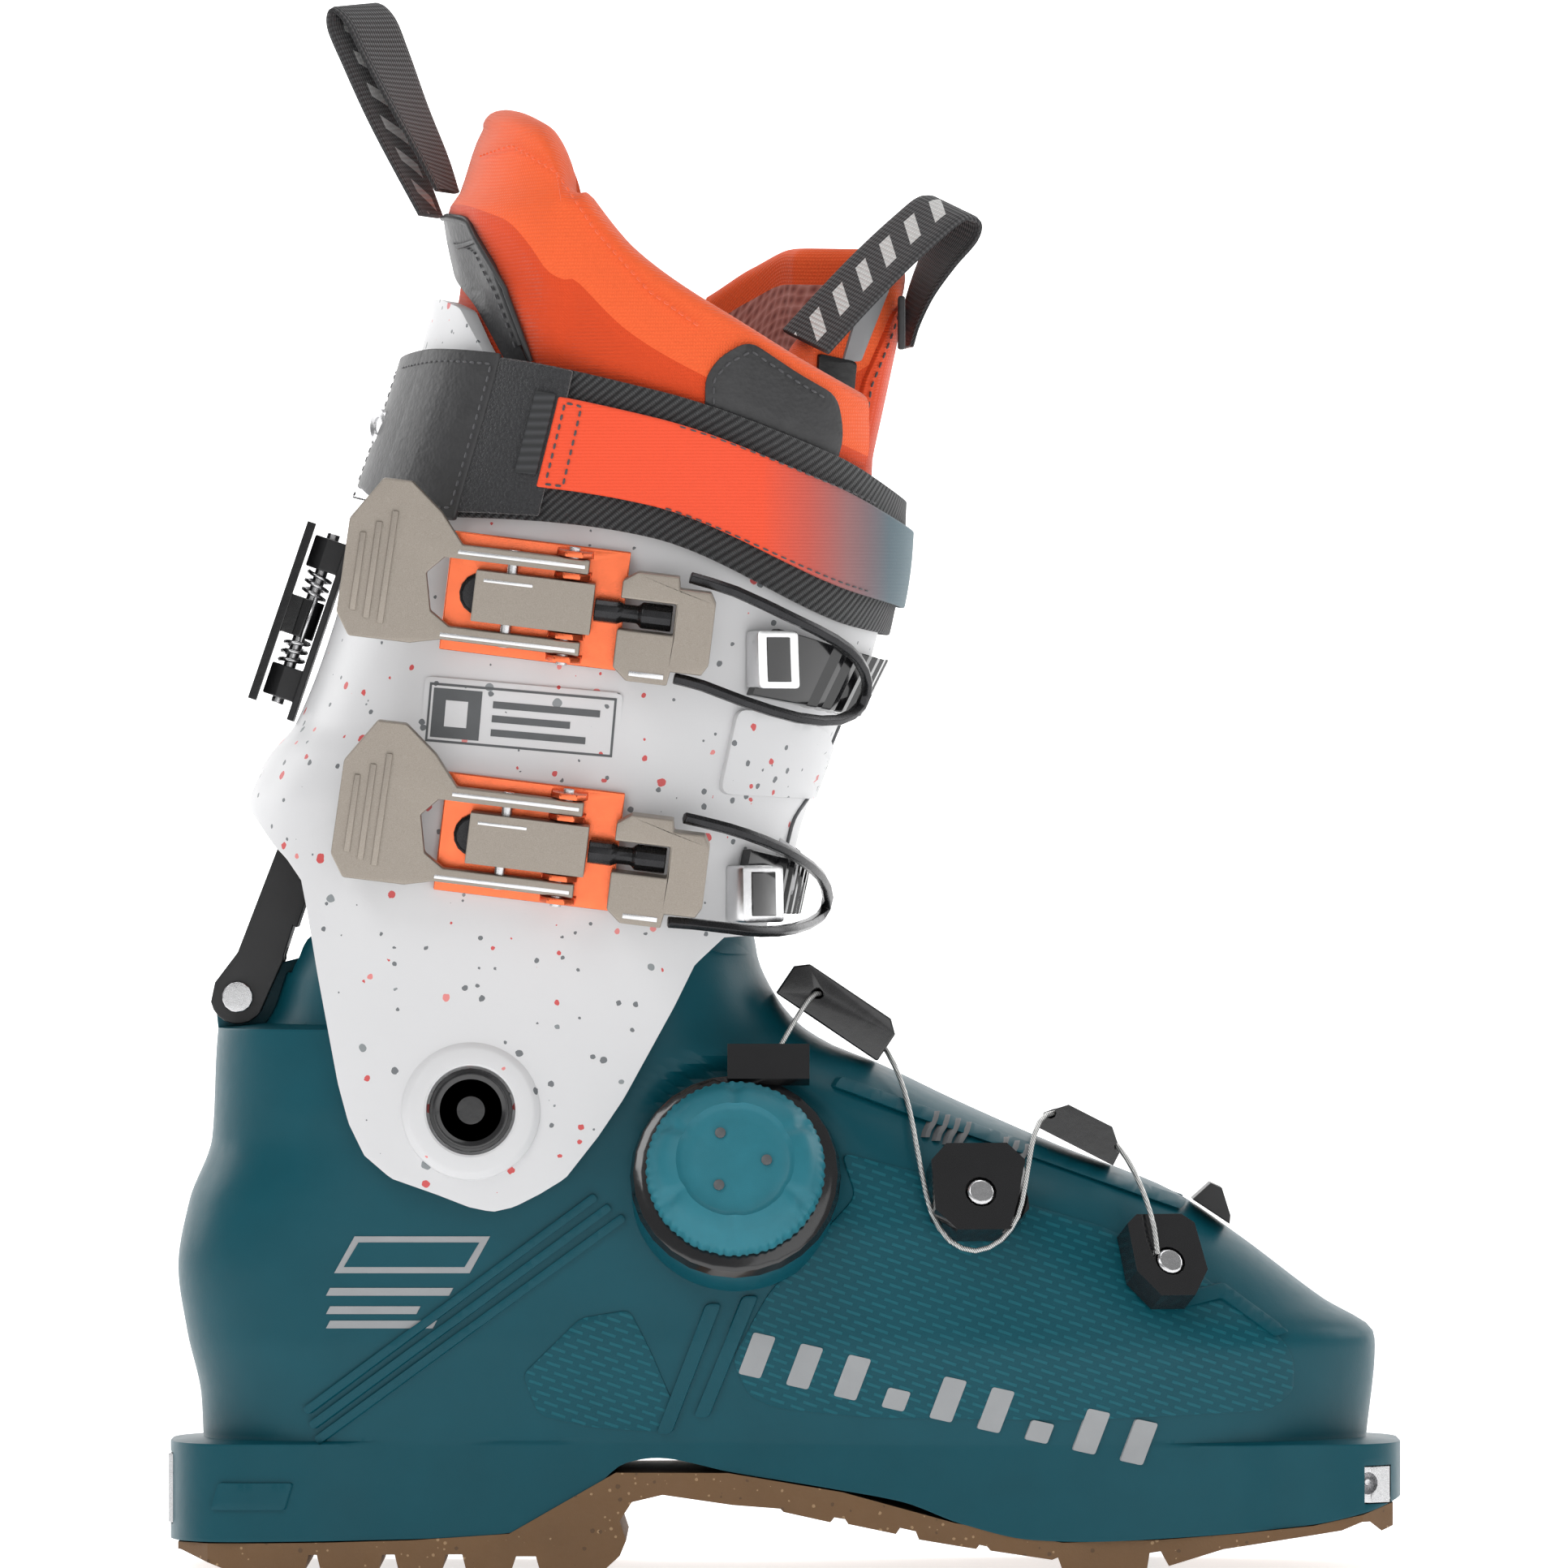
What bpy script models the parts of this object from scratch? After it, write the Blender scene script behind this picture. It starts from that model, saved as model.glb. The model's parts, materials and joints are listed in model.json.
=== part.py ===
"""Alpine touring ski boot, right foot: shell, cuff, liner, buckles, lace dial and walk lock.

+X points to the toe, +Z up, -Y to the boot's outer side. The frame's origin is the middle of the
bounding box at the ground. All driving values are in millimetres and are scaled once, by MM.
"""

from math import acos, cos, pi, radians, sin, sqrt

import bmesh
import bpy
from mathutils import Matrix, Vector

MM = 0.001
GAP = 0.4  # clearance between neighbouring pieces

# ---------------------------------------------------------------- driving dimensions
SOLE_HALF_LENGTH = 151.5
LUG_HALF_WIDTH = 34.5
MID_Y = 4.73  # the boot's middle plane, off the middle of its bounding box
SHELL_WALL = 4.5
SHELL_STATIONS = 17  # points along each side of a level of the shell
CUFF_WALL = 4.6
CUFF_PIVOT = Vector((-76.5, 0, 113))
PIVOT_CAP_RADIUS = 10.2
PIVOT_BOSS_RADIUS = 14.8
LINK_PIVOT = Vector((-134.7, 0, 140))
SHELL_RIM_RADIUS = 58
DIAL_CENTRE = Vector((-12.1, -46.5, 96))
DIAL_TILT = radians(18)
DIAL_RING_RADIUS = 25.7
DIAL_KNOB_RADIUS = 21.7
LACE_RADIUS = 0.625
TOE_PLATE = [(138, 32.4), (143.2, 31.4), (148, 27)]
LINK_ROOM = 17  # depth of the channel behind the liner, where the walk link slides
SPINE_BASE = Vector((-112.5, 0, 231.2))  # the spine's outer face at the walk lock's middle
SPINE_TILT = radians(18.8)
UPPER_BUCKLE = Vector((-52.5, 0, 236))
LOWER_BUCKLE = Vector((-54, 0, 177.6))
BUCKLE_TILT = radians(7)
PIVOT_OUT = 8.0  # a buckle's lever pivot, out from the base's back
LINK_BACK = -14.4  # its link's pivot, behind the lever's
AXLE_OUT = 6.2  # the walk lock's axle, out from the spine
STAND = Matrix(((1, 0, 0, 0), (0, 0, 1, 0), (0, -1, 0, 0), (0, 0, 0, 1)))  # a prism drawn along z

# Side-view outlines, as (z, x) or (x, z) pairs.
SHELL_BOTTOM = [(-151.5, 7), (-110, 7.4), (-78.5, 8.2), (-64, 9.8), (-54.7, 13.8), (-46.7, 20.2),
                (-38.9, 26.4), (-31.5, 27.6), (-13, 24.2), (11.5, 20.4), (28.5, 17.4), (43.3, 12),
                (60.5, 8.2), (72.7, 7.8), (97, 8.8), (127.7, 11.4), (142.5, 14.4), (151.5, 17.8)]
SHELL_REAR = [(31.6, -143.5), (41.6, -144), (57.6, -147.5), (73.6, -149.7), (89.6, -147),
              (105.6, -141.3), (132.6, -139.8), (133.4, -128.4), (147.4, -122.4), (158, -116.5)]
SHELL_FRONT = [(31.6, 143.3), (54.6, 145.5), (57.6, 145), (65.6, 132.7), (81.6, 111.3), (92.2, 95.3),
               (103.6, 66.7), (114.8, 41.3), (124, 21.9), (128, 11.7), (133.2, 3.5), (139.2, -1.7),
               (149.4, -6.7), (158, -8.3)]
SHELL_REAR_ZONE = [(31.6, 34), (80, 40), (158, 40)]
SHELL_FRONT_ZONE = [(31.6, 56), (57, 62), (92, 70), (120, 52), (158, 36)]
# Half-widths along x, one row for each height.
SHELL_WIDTHS = [
    (31.6, [(-143, 30), (-110, 32.5), (-60, 31), (-20, 33), (40, 44), (75, 45.5), (110, 41), (145, 33)]),
    (55, [(-149, 35), (-110, 37), (-60, 37), (-20, 39), (30, 48), (65, 50), (105, 46), (145, 38)]),
    (85, [(-149, 36), (-110, 38.5), (-60, 39.5), (-20, 42), (30, 48), (60, 46), (112, 40)]),
    (113, [(-141, 37), (-110, 39.5), (-76, 41), (-30, 42.5), (10, 44), (45, 40)]),
    (158, [(-117, 38), (-76, 41.5), (-30, 42), (-8, 40)]),
]
LUG_WIDTHS = [(-151.5, 34.5), (-118, 34.5), (-100, 32.5), (-60, 31), (-20, 33), (40, 44), (75, 45.5),
              (110, 41.5), (122, 38), (151.5, 34.5)]
LEG_REAR = [(80, -130), (150, -134), (188, -132.5), (199, -127.5), (207.6, -120.5), (257.6, -103.5),
            (311, -87), (332, -84.5), (337, -80.5), (353, -75.5), (361, -70)]
LEG_FRONT = [(80, -8), (150, -3), (165.6, 0.5), (181, 3.6), (193.6, 8), (205.6, 12.5), (225.6, 22.5),
             (250, 27), (300, 29), (361, 30)]
LEG_WIDTH = [(80, 47), (113, 48.5), (150, 50), (190, 53.5), (236, 57), (290, 60), (361, 58)]
LEG_REAR_ZONE = [(80, 34), (150, 38), (190, 48), (200, 50), (311, 46), (361, 40)]
LEG_FRONT_ZONE = [(80, 26), (150, 30), (181, 46), (236, 58), (361, 58)]
CUFF_TOP = [(-90, 312), (-79, 309), (-73.5, 298), (-62, 281), (-30, 265), (20, 249)]
CUFF_OUTLINE = [(-140, 196), (-134, 190.6), (-131, 185.6), (-124.9, 177.4), (-121.7, 174.2), (-118, 169),
                (-116.5, 161.4), (-113.9, 146), (-108.9, 119.4), (-106.3, 109.8), (-102.5, 102),
                (-96, 96.4), (-84.7, 92.4), (-77, 89.4), (-71.3, 88.2), (-66, 89.4), (-59.7, 92.6),
                (-53.5, 96.4), (-45.5, 106.6), (-39.3, 115.8), (-27, 138.2), (-22, 148.4),
                (-14.9, 155), (-4.5, 155.6), (10, 158), (60, 180), (60, 244), (20, 248), (-30, 264),
                (-62, 280), (-73.5, 297.6), (-79.5, 308.6), (-84.5, 311.2), (-90, 312), (-140, 312)]
STRAP_MIDDLE = [(-105, 279), (-70, 276.5), (-32, 270), (12, 252.5), (33, 244)]
STRAP_HALF = [(-105, 13.5), (-96, 19), (-85, 21), (-32, 18.8), (12, 21), (33, 17)]
LINER_TOP = [(-90, 333), (-84, 340), (-70, 358), (-57.5, 353), (-48.3, 337.6), (-35.3, 321.6),
             (-9.5, 303.6), (6.5, 293.6), (40, 276)]
TONGUE_TOP = [(0.78, 296), (0.88, 307), (0.95, 317), (1, 321), (1.08, 325), (1.2, 325.5), (1.32, 321),
              (1.42, 314)]
LINER_THICKNESS = 8.5
# Pull loops: places along the band, each with the direction of the band's width.
REAR_LOOP = [((-87.4, -3, 332.5), (0.25, 0.96, 0)), ((-92.2, -1.5, 343), (0.35, 0.93, 0)),
             ((-98, 1.5, 356), (0.45, 0.88, 0)), ((-103.2, 4.5, 370), (0.55, 0.82, 0.05)),
             ((-107, 7, 380), (0.57, 0.81, 0.1)), ((-106.3, 8, 384.4), (0.57, 0.81, 0.1)),
             ((-102.6, 7.5, 381), (0.57, 0.81, 0.1)), ((-99, 6, 373), (0.55, 0.82, 0.05)),
             ((-93.2, 3, 360), (0.45, 0.88, 0)), ((-87.2, 0.5, 347.5), (0.35, 0.93, 0)),
             ((-83.4, -1.5, 338.6), (0.25, 0.96, 0))]
FRONT_LOOP = [((5, -33, 300.5), (0.55, -0.78, -0.3)), ((14, -28, 310.5), (0.55, -0.78, -0.3)),
              ((24, -22, 321), (0.55, -0.78, -0.3)), ((32.5, -17, 329), (0.55, -0.78, -0.3)),
              ((38.5, -13, 333.8), (0.55, -0.78, -0.3)), ((42.3, -9.5, 333.2), (0.55, -0.78, -0.3)),
              ((42, -8, 328.5), (0.5, -0.82, -0.25)), ((37.5, -6.5, 321), (0.4, -0.9, -0.15)),
              ((33.4, -5, 313), (0.3, -0.95, -0.05)), ((30.8, -4, 305.5), (0.2, -0.98, 0)),
              ((29.8, -3.5, 300), (0.12, -0.99, 0))]
OUTSOLE_BOTTOM = [(-151.5, 5), (-148.2, 4.8), (-136, 0), (-117.5, 0), (-116.5, 4), (-114.5, 4), (-113.5, 0),
                  (-99.5, 0), (-98.5, 4), (-95.5, 4), (-94.5, 0), (-84, 0), (-83, 4), (-79, 4), (-78, 0),
                  (-67, 0), (-66, 3.5), (-61, 3.5), (-60, 0), (-44, 0.4), (-40.5, 3.6), (-38.9, 7.4),
                  (-40.5, 12.2), (-37.5, 16.8), (-30, 18.6), (-13, 16.2), (-1.2, 15.4), (-0.4, 14.6),
                  (11, 12.2), (12, 13.4), (14.6, 13), (15.4, 11.8), (27, 9.5), (28, 11), (31.8, 10.2),
                  (32.6, 8.2), (46.5, 6), (47.3, 7), (49.2, 6.6), (50, 5.6), (65, 3.4), (66.5, 4),
                  (67.7, 0.4), (88, 0), (88.8, 5), (91.5, 5.4), (93.5, 1.8), (106.9, 5.8), (136, 10),
                  (141, 12), (143, 12), (146, 9.6), (151.5, 11.8)]


# ---------------------------------------------------------------- small maths
def table(pairs, value):
    """Straight lines between (key, result) pairs, flat past both ends."""
    if value <= pairs[0][0]:
        return pairs[0][1]
    for (k0, v0), (k1, v1) in zip(pairs, pairs[1:]):
        if value <= k1:
            return v0 + (v1 - v0) * (value - k0) / (k1 - k0)
    return pairs[-1][1]


def clamp(value):
    return min(max(value, 0.0), 1.0)


def rounding(distance, zone, power):
    """How much of the full width is left at a distance from a rounded end."""
    return (1 - clamp(1 - distance / zone) ** power) ** (1 / power)


def shell_floor(x):
    return table(SHELL_BOTTOM, x)


def shell_range(z, grow=0.0):
    """The shell's rear and front x at height z, grown outward by a thickness."""
    slope = 1.0 if z < 60 else 1.7
    if z < 31.3:
        return -SOLE_HALF_LENGTH - grow, SOLE_HALF_LENGTH + grow
    rear = max(table(SHELL_REAR, z), table(SHELL_REAR, z + max(-1.5 * grow, 0)))  # walls under a ledge
    return rear - grow, table(SHELL_FRONT, z) + grow * slope


def shell_half(x, z, grow=0.0):
    """The shell's half-width at x and z."""
    rear, front = shell_range(z, grow)
    if z < 31.3:
        full = table(LUG_WIDTHS, x) + grow
        return full * rounding(x - rear, 22, 2.6) * rounding(front - x, 30, 3.5)
    rows = SHELL_WIDTHS
    full = table(rows[-1][1], x)
    for (z0, low), (z1, high) in zip(rows, rows[1:]):
        if z <= z1:
            mix = clamp((z - z0) / (z1 - z0))
            full = table(low, x) * (1 - mix) + table(high, x) * mix
            break
    rear_zone = table(SHELL_REAR_ZONE, z)
    front_zone = table(SHELL_FRONT_ZONE, z)
    return (full + grow) * rounding(x - rear, rear_zone, 2.3) * rounding(front - x, front_zone, 2.3)


def shell_rim(x):
    """Height of the shell's rim: an arc about the cuff's pivot, then up to the instep."""
    reach = min(abs(x - CUFF_PIVOT.x), SHELL_RIM_RADIUS - 18)
    arc = CUFF_PIVOT.z + sqrt(SHELL_RIM_RADIUS**2 - reach**2)
    mix = clamp((x + 50) / 40)
    return arc * (1 - mix) + 155 * mix


def leg_range(z, grow=0.0):
    return table(LEG_REAR, z) - grow, table(LEG_FRONT, z) + grow


def leg_half(x, z, grow=0.0):
    """Half-width of the cuff's outer face at x and z, grown outward by a thickness."""
    rear, front = leg_range(z, grow)
    ends = rounding(x - rear, table(LEG_REAR_ZONE, z) + grow, 2.3)
    ends *= rounding(front - x, table(LEG_FRONT_ZONE, z) + grow, 2.3)
    return (table(LEG_WIDTH, z) + grow) * ends


def leg_point(turn, z, grow=0.0):
    """A point on the cuff's outer face. Turn 0 is the rear, 1 the front by the outer side, 2 the rear."""
    rear, front = leg_range(z, grow)
    x = rear + (front - rear) * (1 - cos(pi * turn)) / 2
    half = leg_half(x, z, grow)
    return Vector((x, half if turn > 1 else -half, z))


def leg_turn(x, z):
    """The turn at which the cuff's outer side stands at x."""
    rear, front = leg_range(z)
    return acos(1 - 2 * clamp((x - rear) / (front - rear))) / pi


def smooth_path(points, steps):
    """A smooth curve through the points, with a number of steps to each span."""
    points = [Vector(p) for p in points]
    ends = [points[0] * 2 - points[1]] + points + [points[-1] * 2 - points[-2]]
    path = []
    for a, b, c, d in zip(ends, ends[1:], ends[2:], ends[3:]):
        for k in range(steps):
            t = k / steps
            path.append(0.5 * (2 * b + (c - a) * t + (2 * a - 5 * b + 4 * c - d) * t**2
                               + (3 * b - a - 3 * c + d) * t**3))
    return path + [points[-1]]


# ---------------------------------------------------------------- building blocks
for leftover in list(bpy.data.objects):
    bpy.data.objects.remove(leftover, do_unlink=True)

midplane = bpy.data.objects.new("midplane", None)
midplane.location = (0, MID_Y * MM, 0)
bpy.context.collection.objects.link(midplane)


def material(name, colour, roughness, metallic=0.0):
    made = bpy.data.materials.new(name)
    made.use_nodes = True
    shader = made.node_tree.nodes["Principled BSDF"]
    shader.inputs["Base Color"].default_value = (*colour, 1)
    shader.inputs["Roughness"].default_value = roughness
    shader.inputs["Metallic"].default_value = metallic
    return made


TEAL = material("teal_polyurethane", (0.004, 0.095, 0.13), 0.4)
DIAL_TEAL = material("dial_teal", (0.03, 0.19, 0.24), 0.45)
WHITE = material("speckled_white", (0.76, 0.76, 0.77), 0.45)
GUM = material("gum_rubber", (0.22, 0.12, 0.05), 0.8)
BLACK = material("black_nylon", (0.012, 0.012, 0.013), 0.5)
SATIN_BLACK = material("black_anodised", (0.015, 0.015, 0.016), 0.3, 0.6)
BEIGE = material("blasted_magnesium", (0.42, 0.37, 0.32), 0.5, 0.9)
ORANGE_METAL = material("orange_anodised", (0.85, 0.15, 0.05), 0.3, 1.0)
STEEL = material("steel", (0.6, 0.6, 0.6), 0.3, 1.0)
ORANGE = material("orange_cloth", (0.9, 0.1, 0.015), 0.85)
WEBBING = material("dark_webbing", (0.03, 0.03, 0.032), 0.9)
FOAM = material("grey_foam", (0.16, 0.16, 0.17), 0.9)


def add(name, points, faces, finish, origin=(0, 0, 0)):
    """A closed object from points in millimetres; its origin is on its joint's axis."""
    origin = Vector(origin)
    mesh = bpy.data.meshes.new(name)
    mesh.from_pydata([(Vector(p) - origin) * MM for p in points], [], faces)
    work = bmesh.new()
    work.from_mesh(mesh)
    bmesh.ops.remove_doubles(work, verts=work.verts, dist=1e-6)
    bmesh.ops.recalc_face_normals(work, faces=work.faces)
    work.to_mesh(mesh)
    work.free()
    mesh.shade_smooth()
    mesh.set_sharp_from_angle(angle=radians(35))
    mesh.materials.append(finish)
    made = bpy.data.objects.new(name, mesh)
    made.location = origin * MM
    made.parent = midplane
    bpy.context.collection.objects.link(made)
    return made


def boolean(target, cutter, operation="DIFFERENCE"):
    """Cuts, joins or keeps what is common, and hides the helper."""
    cutter.hide_render = True
    cutter.display_type = "WIRE"
    step = target.modifiers.new(cutter.name, "BOOLEAN")
    step.operation = operation
    step.solver = "EXACT"
    step.object = cutter
    return target


def rings_solid(name, rings, finish, origin=(0, 0, 0), wrap=False):
    """Closed loops of equal length joined in order, and capped or wrapped round."""
    count = len(rings[0])
    points = [p for ring in rings for p in ring]
    faces = []
    spans = len(rings) if wrap else len(rings) - 1
    for r in range(spans):
        low = r * count
        high = (r + 1) % len(rings) * count
        for k in range(count):
            n = (k + 1) % count
            faces.append((low + k, low + n, high + n, high + k))
    if not wrap:
        for low in (0, (len(rings) - 1) * count):
            for k in range(count // 2):
                quad = [low + k, low + k + 1, low + (count - k - 1) % count, low + (count - k) % count]
                faces.append(tuple(dict.fromkeys(quad)))
    return add(name, points, [f for f in faces if len(f) > 2], finish, origin)


def prism(name, outline, low, high, finish=BLACK, frame=Matrix(), origin=(0, 0, 0)):
    """An outline of (x, z) pairs drawn out along y, in a frame."""
    count = len(outline)
    points = [frame @ Vector((x, low, z)) for x, z in outline]
    points += [frame @ Vector((x, high, z)) for x, z in outline]
    faces = [tuple(range(count)), tuple(range(2 * count - 1, count - 1, -1))]
    faces += [(k, (k + 1) % count, count + (k + 1) % count, count + k) for k in range(count)]
    return add(name, points, faces, finish, origin)


def block(name, low, high, finish=BLACK, frame=Matrix(), origin=(0, 0, 0)):
    outline = [(low[0], low[2]), (high[0], low[2]), (high[0], high[2]), (low[0], high[2])]
    return prism(name, outline, low[1], high[1], finish, frame, origin)


def axis_frame(centre, axis, up=(0, 0, 1)):
    """A frame at the centre whose y runs along the axis."""
    y = Vector(axis).normalized()
    x = y.cross(Vector(up)).normalized()
    z = x.cross(y)
    turn = Matrix((x, y, z)).transposed().to_4x4()
    return Matrix.Translation(Vector(centre)) @ turn


def turned(name, profile, frame, finish=BLACK, sides=20, origin=(0, 0, 0)):
    """A turned solid: (distance along the frame's y, radius) pairs from end to end."""
    rings = []
    for along, radius in profile:
        ring = [Vector((radius * sin(2 * pi * k / sides), along, radius * cos(2 * pi * k / sides)))
                for k in range(sides)]
        rings.append([frame @ p for p in ring])
    return rings_solid(name, rings, finish, origin)


def turned_ring(name, profile, frame, finish=BLACK, sides=20, origin=(0, 0, 0)):
    """A turned solid with a bore: a closed loop of (distance, radius) pairs."""
    rings = []
    for k in range(sides):
        a = 2 * pi * k / sides
        rings.append([frame @ Vector((r * sin(a), along, r * cos(a))) for along, r in profile])
    return rings_solid(name, rings, finish, origin, wrap=True)


def wire(name, path, radius, finish, sides=6, origin=(0, 0, 0)):
    """A round wire along a path, with flat ends."""
    rings = []
    side = None
    for k, point in enumerate(path):
        ahead = path[min(k + 1, len(path) - 1)] - path[max(k - 1, 0)]
        ahead.normalize()
        side = ahead.orthogonal() if side is None else side - ahead * side.dot(ahead)
        side.normalize()
        across = ahead.cross(side)
        rings.append([point + radius * (side * cos(2 * pi * s / sides) + across * sin(2 * pi * s / sides))
                      for s in range(sides)])
    return rings_solid(name, rings, finish, origin)


def ribbon(name, route, density, width, thickness, finish):
    """A flat band along a route of (place, direction of its width) pairs."""
    path = smooth_path([place for place, _ in route], density)
    sides = smooth_path([across for _, across in route], density)
    rings = []
    for k, (point, side) in enumerate(zip(path, sides)):
        ahead = (path[min(k + 1, len(path) - 1)] - path[max(k - 1, 0)]).normalized()
        across = side.normalized() * width / 2
        normal = ahead.cross(across).normalized() * thickness / 2
        rings.append([point + across + normal, point - across + normal,
                      point - across - normal, point + across - normal])
    return rings_solid(name, rings, finish)


def wrap(name, turns, low, high, inner, outer, levels, finish, closed=False):
    """A wall round the leg between two heights, each a function of x, and two offsets of the cuff's face.

    inner and outer are numbers, or functions of the turn's place in the list, and levels are the
    heights as parts of the way up."""
    rings = []
    for place, turn in enumerate(turns):
        depth = [value(place) if callable(value) else value for value in (inner, outer)]
        column = []
        for mix in levels:
            x = leg_point(turn, 300).x
            for _ in range(3):
                z = low(x) + (high(x) - low(x)) * mix
                x = leg_point(turn, z, depth[1]).x
            column.append(z)
        ring = [leg_point(turn, z, depth[1]) for z in column]
        ring += [leg_point(turn, z, depth[0]) for z in reversed(column)]
        rings.append(ring)
    return rings_solid(name, rings, finish, wrap=closed)


def steps(start, end, count):
    return [start + (end - start) * k / count for k in range(count + 1)]


# ---------------------------------------------------------------- lower shell and sole
def shell_ring(z, grow, floor_of=None, rim_mix=0.0, stations=SHELL_STATIONS):
    """One level of the shell, following its floor low down and its rim high up."""
    rear, front = shell_range(z, grow)
    side = []
    for k in range(stations + 1):
        x = rear + (front - rear) * (1 - cos(pi * k / stations)) / 2
        height = floor_of(x) if floor_of else z
        height += (shell_rim(x) - height) * rim_mix
        side.append((x, shell_half(x, z, grow), height))
    ring = [Vector((x, -half, height)) for x, half, height in side]
    return ring + [Vector((x, half, height)) for x, half, height in side[-2:0:-1]]


def floor_level(z, lift=0.0):
    """The floor's curve, fading out at the top of the sole."""
    fade = clamp((31 - z) / 23)
    return lambda x: z + (shell_floor(x) - 8) * fade + lift


def lower_shell():
    heights = [44, 56, 68, 80, 92, 104, 116, 128, 132.4, 133.6, 142, 150]
    outer = [shell_ring(z, 0, floor_level(z)) for z in (8, 16, 24, 31)]
    outer += [shell_ring(31.7, 0)] + [shell_ring(z, 0) for z in heights]
    inner = [shell_ring(z, -SHELL_WALL) for z in reversed(heights[:8] + heights[10:])]
    inner += [shell_ring(36, -SHELL_WALL - 1.5)]
    rings = outer + [shell_ring(157, 0, rim_mix=1), shell_ring(157, -SHELL_WALL, rim_mix=1)] + inner
    shell = rings_solid("lower_shell", rings, TEAL)
    boss = prism("link_boss", [(-139.5, 129), (-120, 129), (-118, 150)]
                 + arc_points(LINK_PIVOT.x, LINK_PIVOT.z, 6, 80, 200, 6), -4.5, 4.5)
    boolean(shell, boss, "UNION")
    seat = [Vector((24.5 * sin(2 * pi * k / 28), 0, 24.5 * cos(2 * pi * k / 28))) for k in range(28)]
    seat = [[dial_frame(-along) @ (p * size) for p in seat] for along, size in ((0, 0.97), (1.5, 1))]
    root = [Vector((p.x, -40.3 + 0.07 * (p.z - DIAL_CENTRE.z), p.z)) for p in seat[1]]
    boolean(shell, turned("dial_seat", [(0, 26.6), (30, 26.6)], dial_frame(), sides=28))
    boolean(shell, rings_solid("dial_boss", seat + [root], TEAL), "UNION")
    boolean(shell, block("rear_notch", (-130, -13.5, 146), (-100, 13.5, 180)))
    boolean(shell, turned("dial_bore", [(-40, 3), (10, 3)], dial_frame(), sides=12))
    rivet = axis_frame((LINK_PIVOT.x, 0, LINK_PIVOT.z), (0, 1, 0))
    boolean(shell, turned("rivet_bore", [(-20, 2.4), (20, 2.4)], rivet, sides=12))
    boolean(shell, plan_prism("toe_slot", TOE_PLATE, 16.3, 25.7, grow=0.35))
    boolean(shell, block("heel_slot", (-160, -15.4, 10.6), (-148.1, 15.4, 28.4)))
    return shell


def arc_points(x, z, radius, start, end, count):
    """Points of an arc in side view, angles in degrees from +X towards +Z."""
    return [(x + radius * cos(radians(a)), z + radius * sin(radians(a))) for a in steps(start, end, count)]


def dial_frame(along=0.0):
    """The lace dial's frame: y points outward and a little up."""
    axis = Vector((0, -cos(DIAL_TILT), sin(DIAL_TILT)))
    return axis_frame(DIAL_CENTRE + axis * along, axis)


def plan_prism(name, outline, low, high, finish=BLACK, grow=0.0):
    """A plan outline of (x, y) pairs, mirrored about the middle plane and drawn up; grow widens it."""
    middle = sum(x for x, _ in outline) / len(outline)
    side = [(x + (grow if x > middle else -grow), y + 3 * grow) for x, y in outline]
    loop = side + [(x, -y) for x, y in reversed(side)]
    count = len(loop)
    points = [Vector((x, y, z)) for z in (low, high) for x, y in loop]
    faces = [tuple(range(count)), tuple(range(2 * count - 1, count - 1, -1))]
    faces += [(k, (k + 1) % count, count + (k + 1) % count, count + k) for k in range(count)]
    return add(name, points, faces, finish)


def sole_parts():
    top = [(p.x, p.z - GAP) for p in shell_ring(8, 0, floor_level(8))[:SHELL_STATIONS + 1]]
    profile = OUTSOLE_BOTTOM + list(reversed(top))
    outsole = prism("outsole", profile, -60, 60, GUM)
    foot = [(p.x, p.y) for p in shell_ring(20, 0)[SHELL_STATIONS::-1]]
    foot = [(x, -y) for x, y in reversed(foot)]
    boolean(outsole, plan_prism("footprint", foot[1:-1], -5, 40, GUM), "INTERSECT")

    toe = plan_prism("toe_insert", TOE_PLATE, 16.6, 25.4, STEEL)
    for side in (-1, 1):
        mouth = axis_frame((142.7, side * TOE_PLATE[1][1], 21.4), (0, side, 0))
        boolean(toe, turned(f"toe_socket_{side}", [(-5, 0.8), (-1.5, 2.3), (1, 3)], mouth, sides=14))
    heel = block("heel_insert", (-SOLE_HALF_LENGTH, -15, 11), (-148.5, 15, 28), STEEL)
    for side in (-1, 1):
        boolean(heel, block(f"heel_slot_{side}", (-153, side * 9 - 2, 9), (-150, side * 9 + 2, 22)))
    screw = axis_frame((-150, 0, 19.5), (-1, 0, 0))
    boolean(heel, turned("heel_screw_bore", [(-5, 2.6), (5, 2.6)], screw, sides=14))
    turned("heel_insert_screw", [(-1.4, 2.2), (1.4, 2.2)], screw, STEEL, 14)


def inside_parts():
    board = [shell_ring(36, -SHELL_WALL - 3, lambda x: 36.6), shell_ring(42, -SHELL_WALL - 2.5)]
    rings_solid("boot_board", board, BLACK)
    skin = SHELL_WALL + 1.6
    heights = [44, 60, 78, 96, 112, 127]
    outer = [shell_ring(44, -skin, lambda x: 42.8)] + [shell_ring(z, -skin) for z in heights[1:]]
    hollow = [shell_ring(z, -skin - 8) for z in reversed(heights[1:])] + [shell_ring(50, -skin - 9)]
    rings_solid("liner_foot", outer + hollow, FOAM)
    bed = [shell_ring(51, -skin - 15, lambda x: 51.4), shell_ring(54, -skin - 15, lambda x: 54)]
    rings_solid("footbed", bed, ORANGE)


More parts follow.
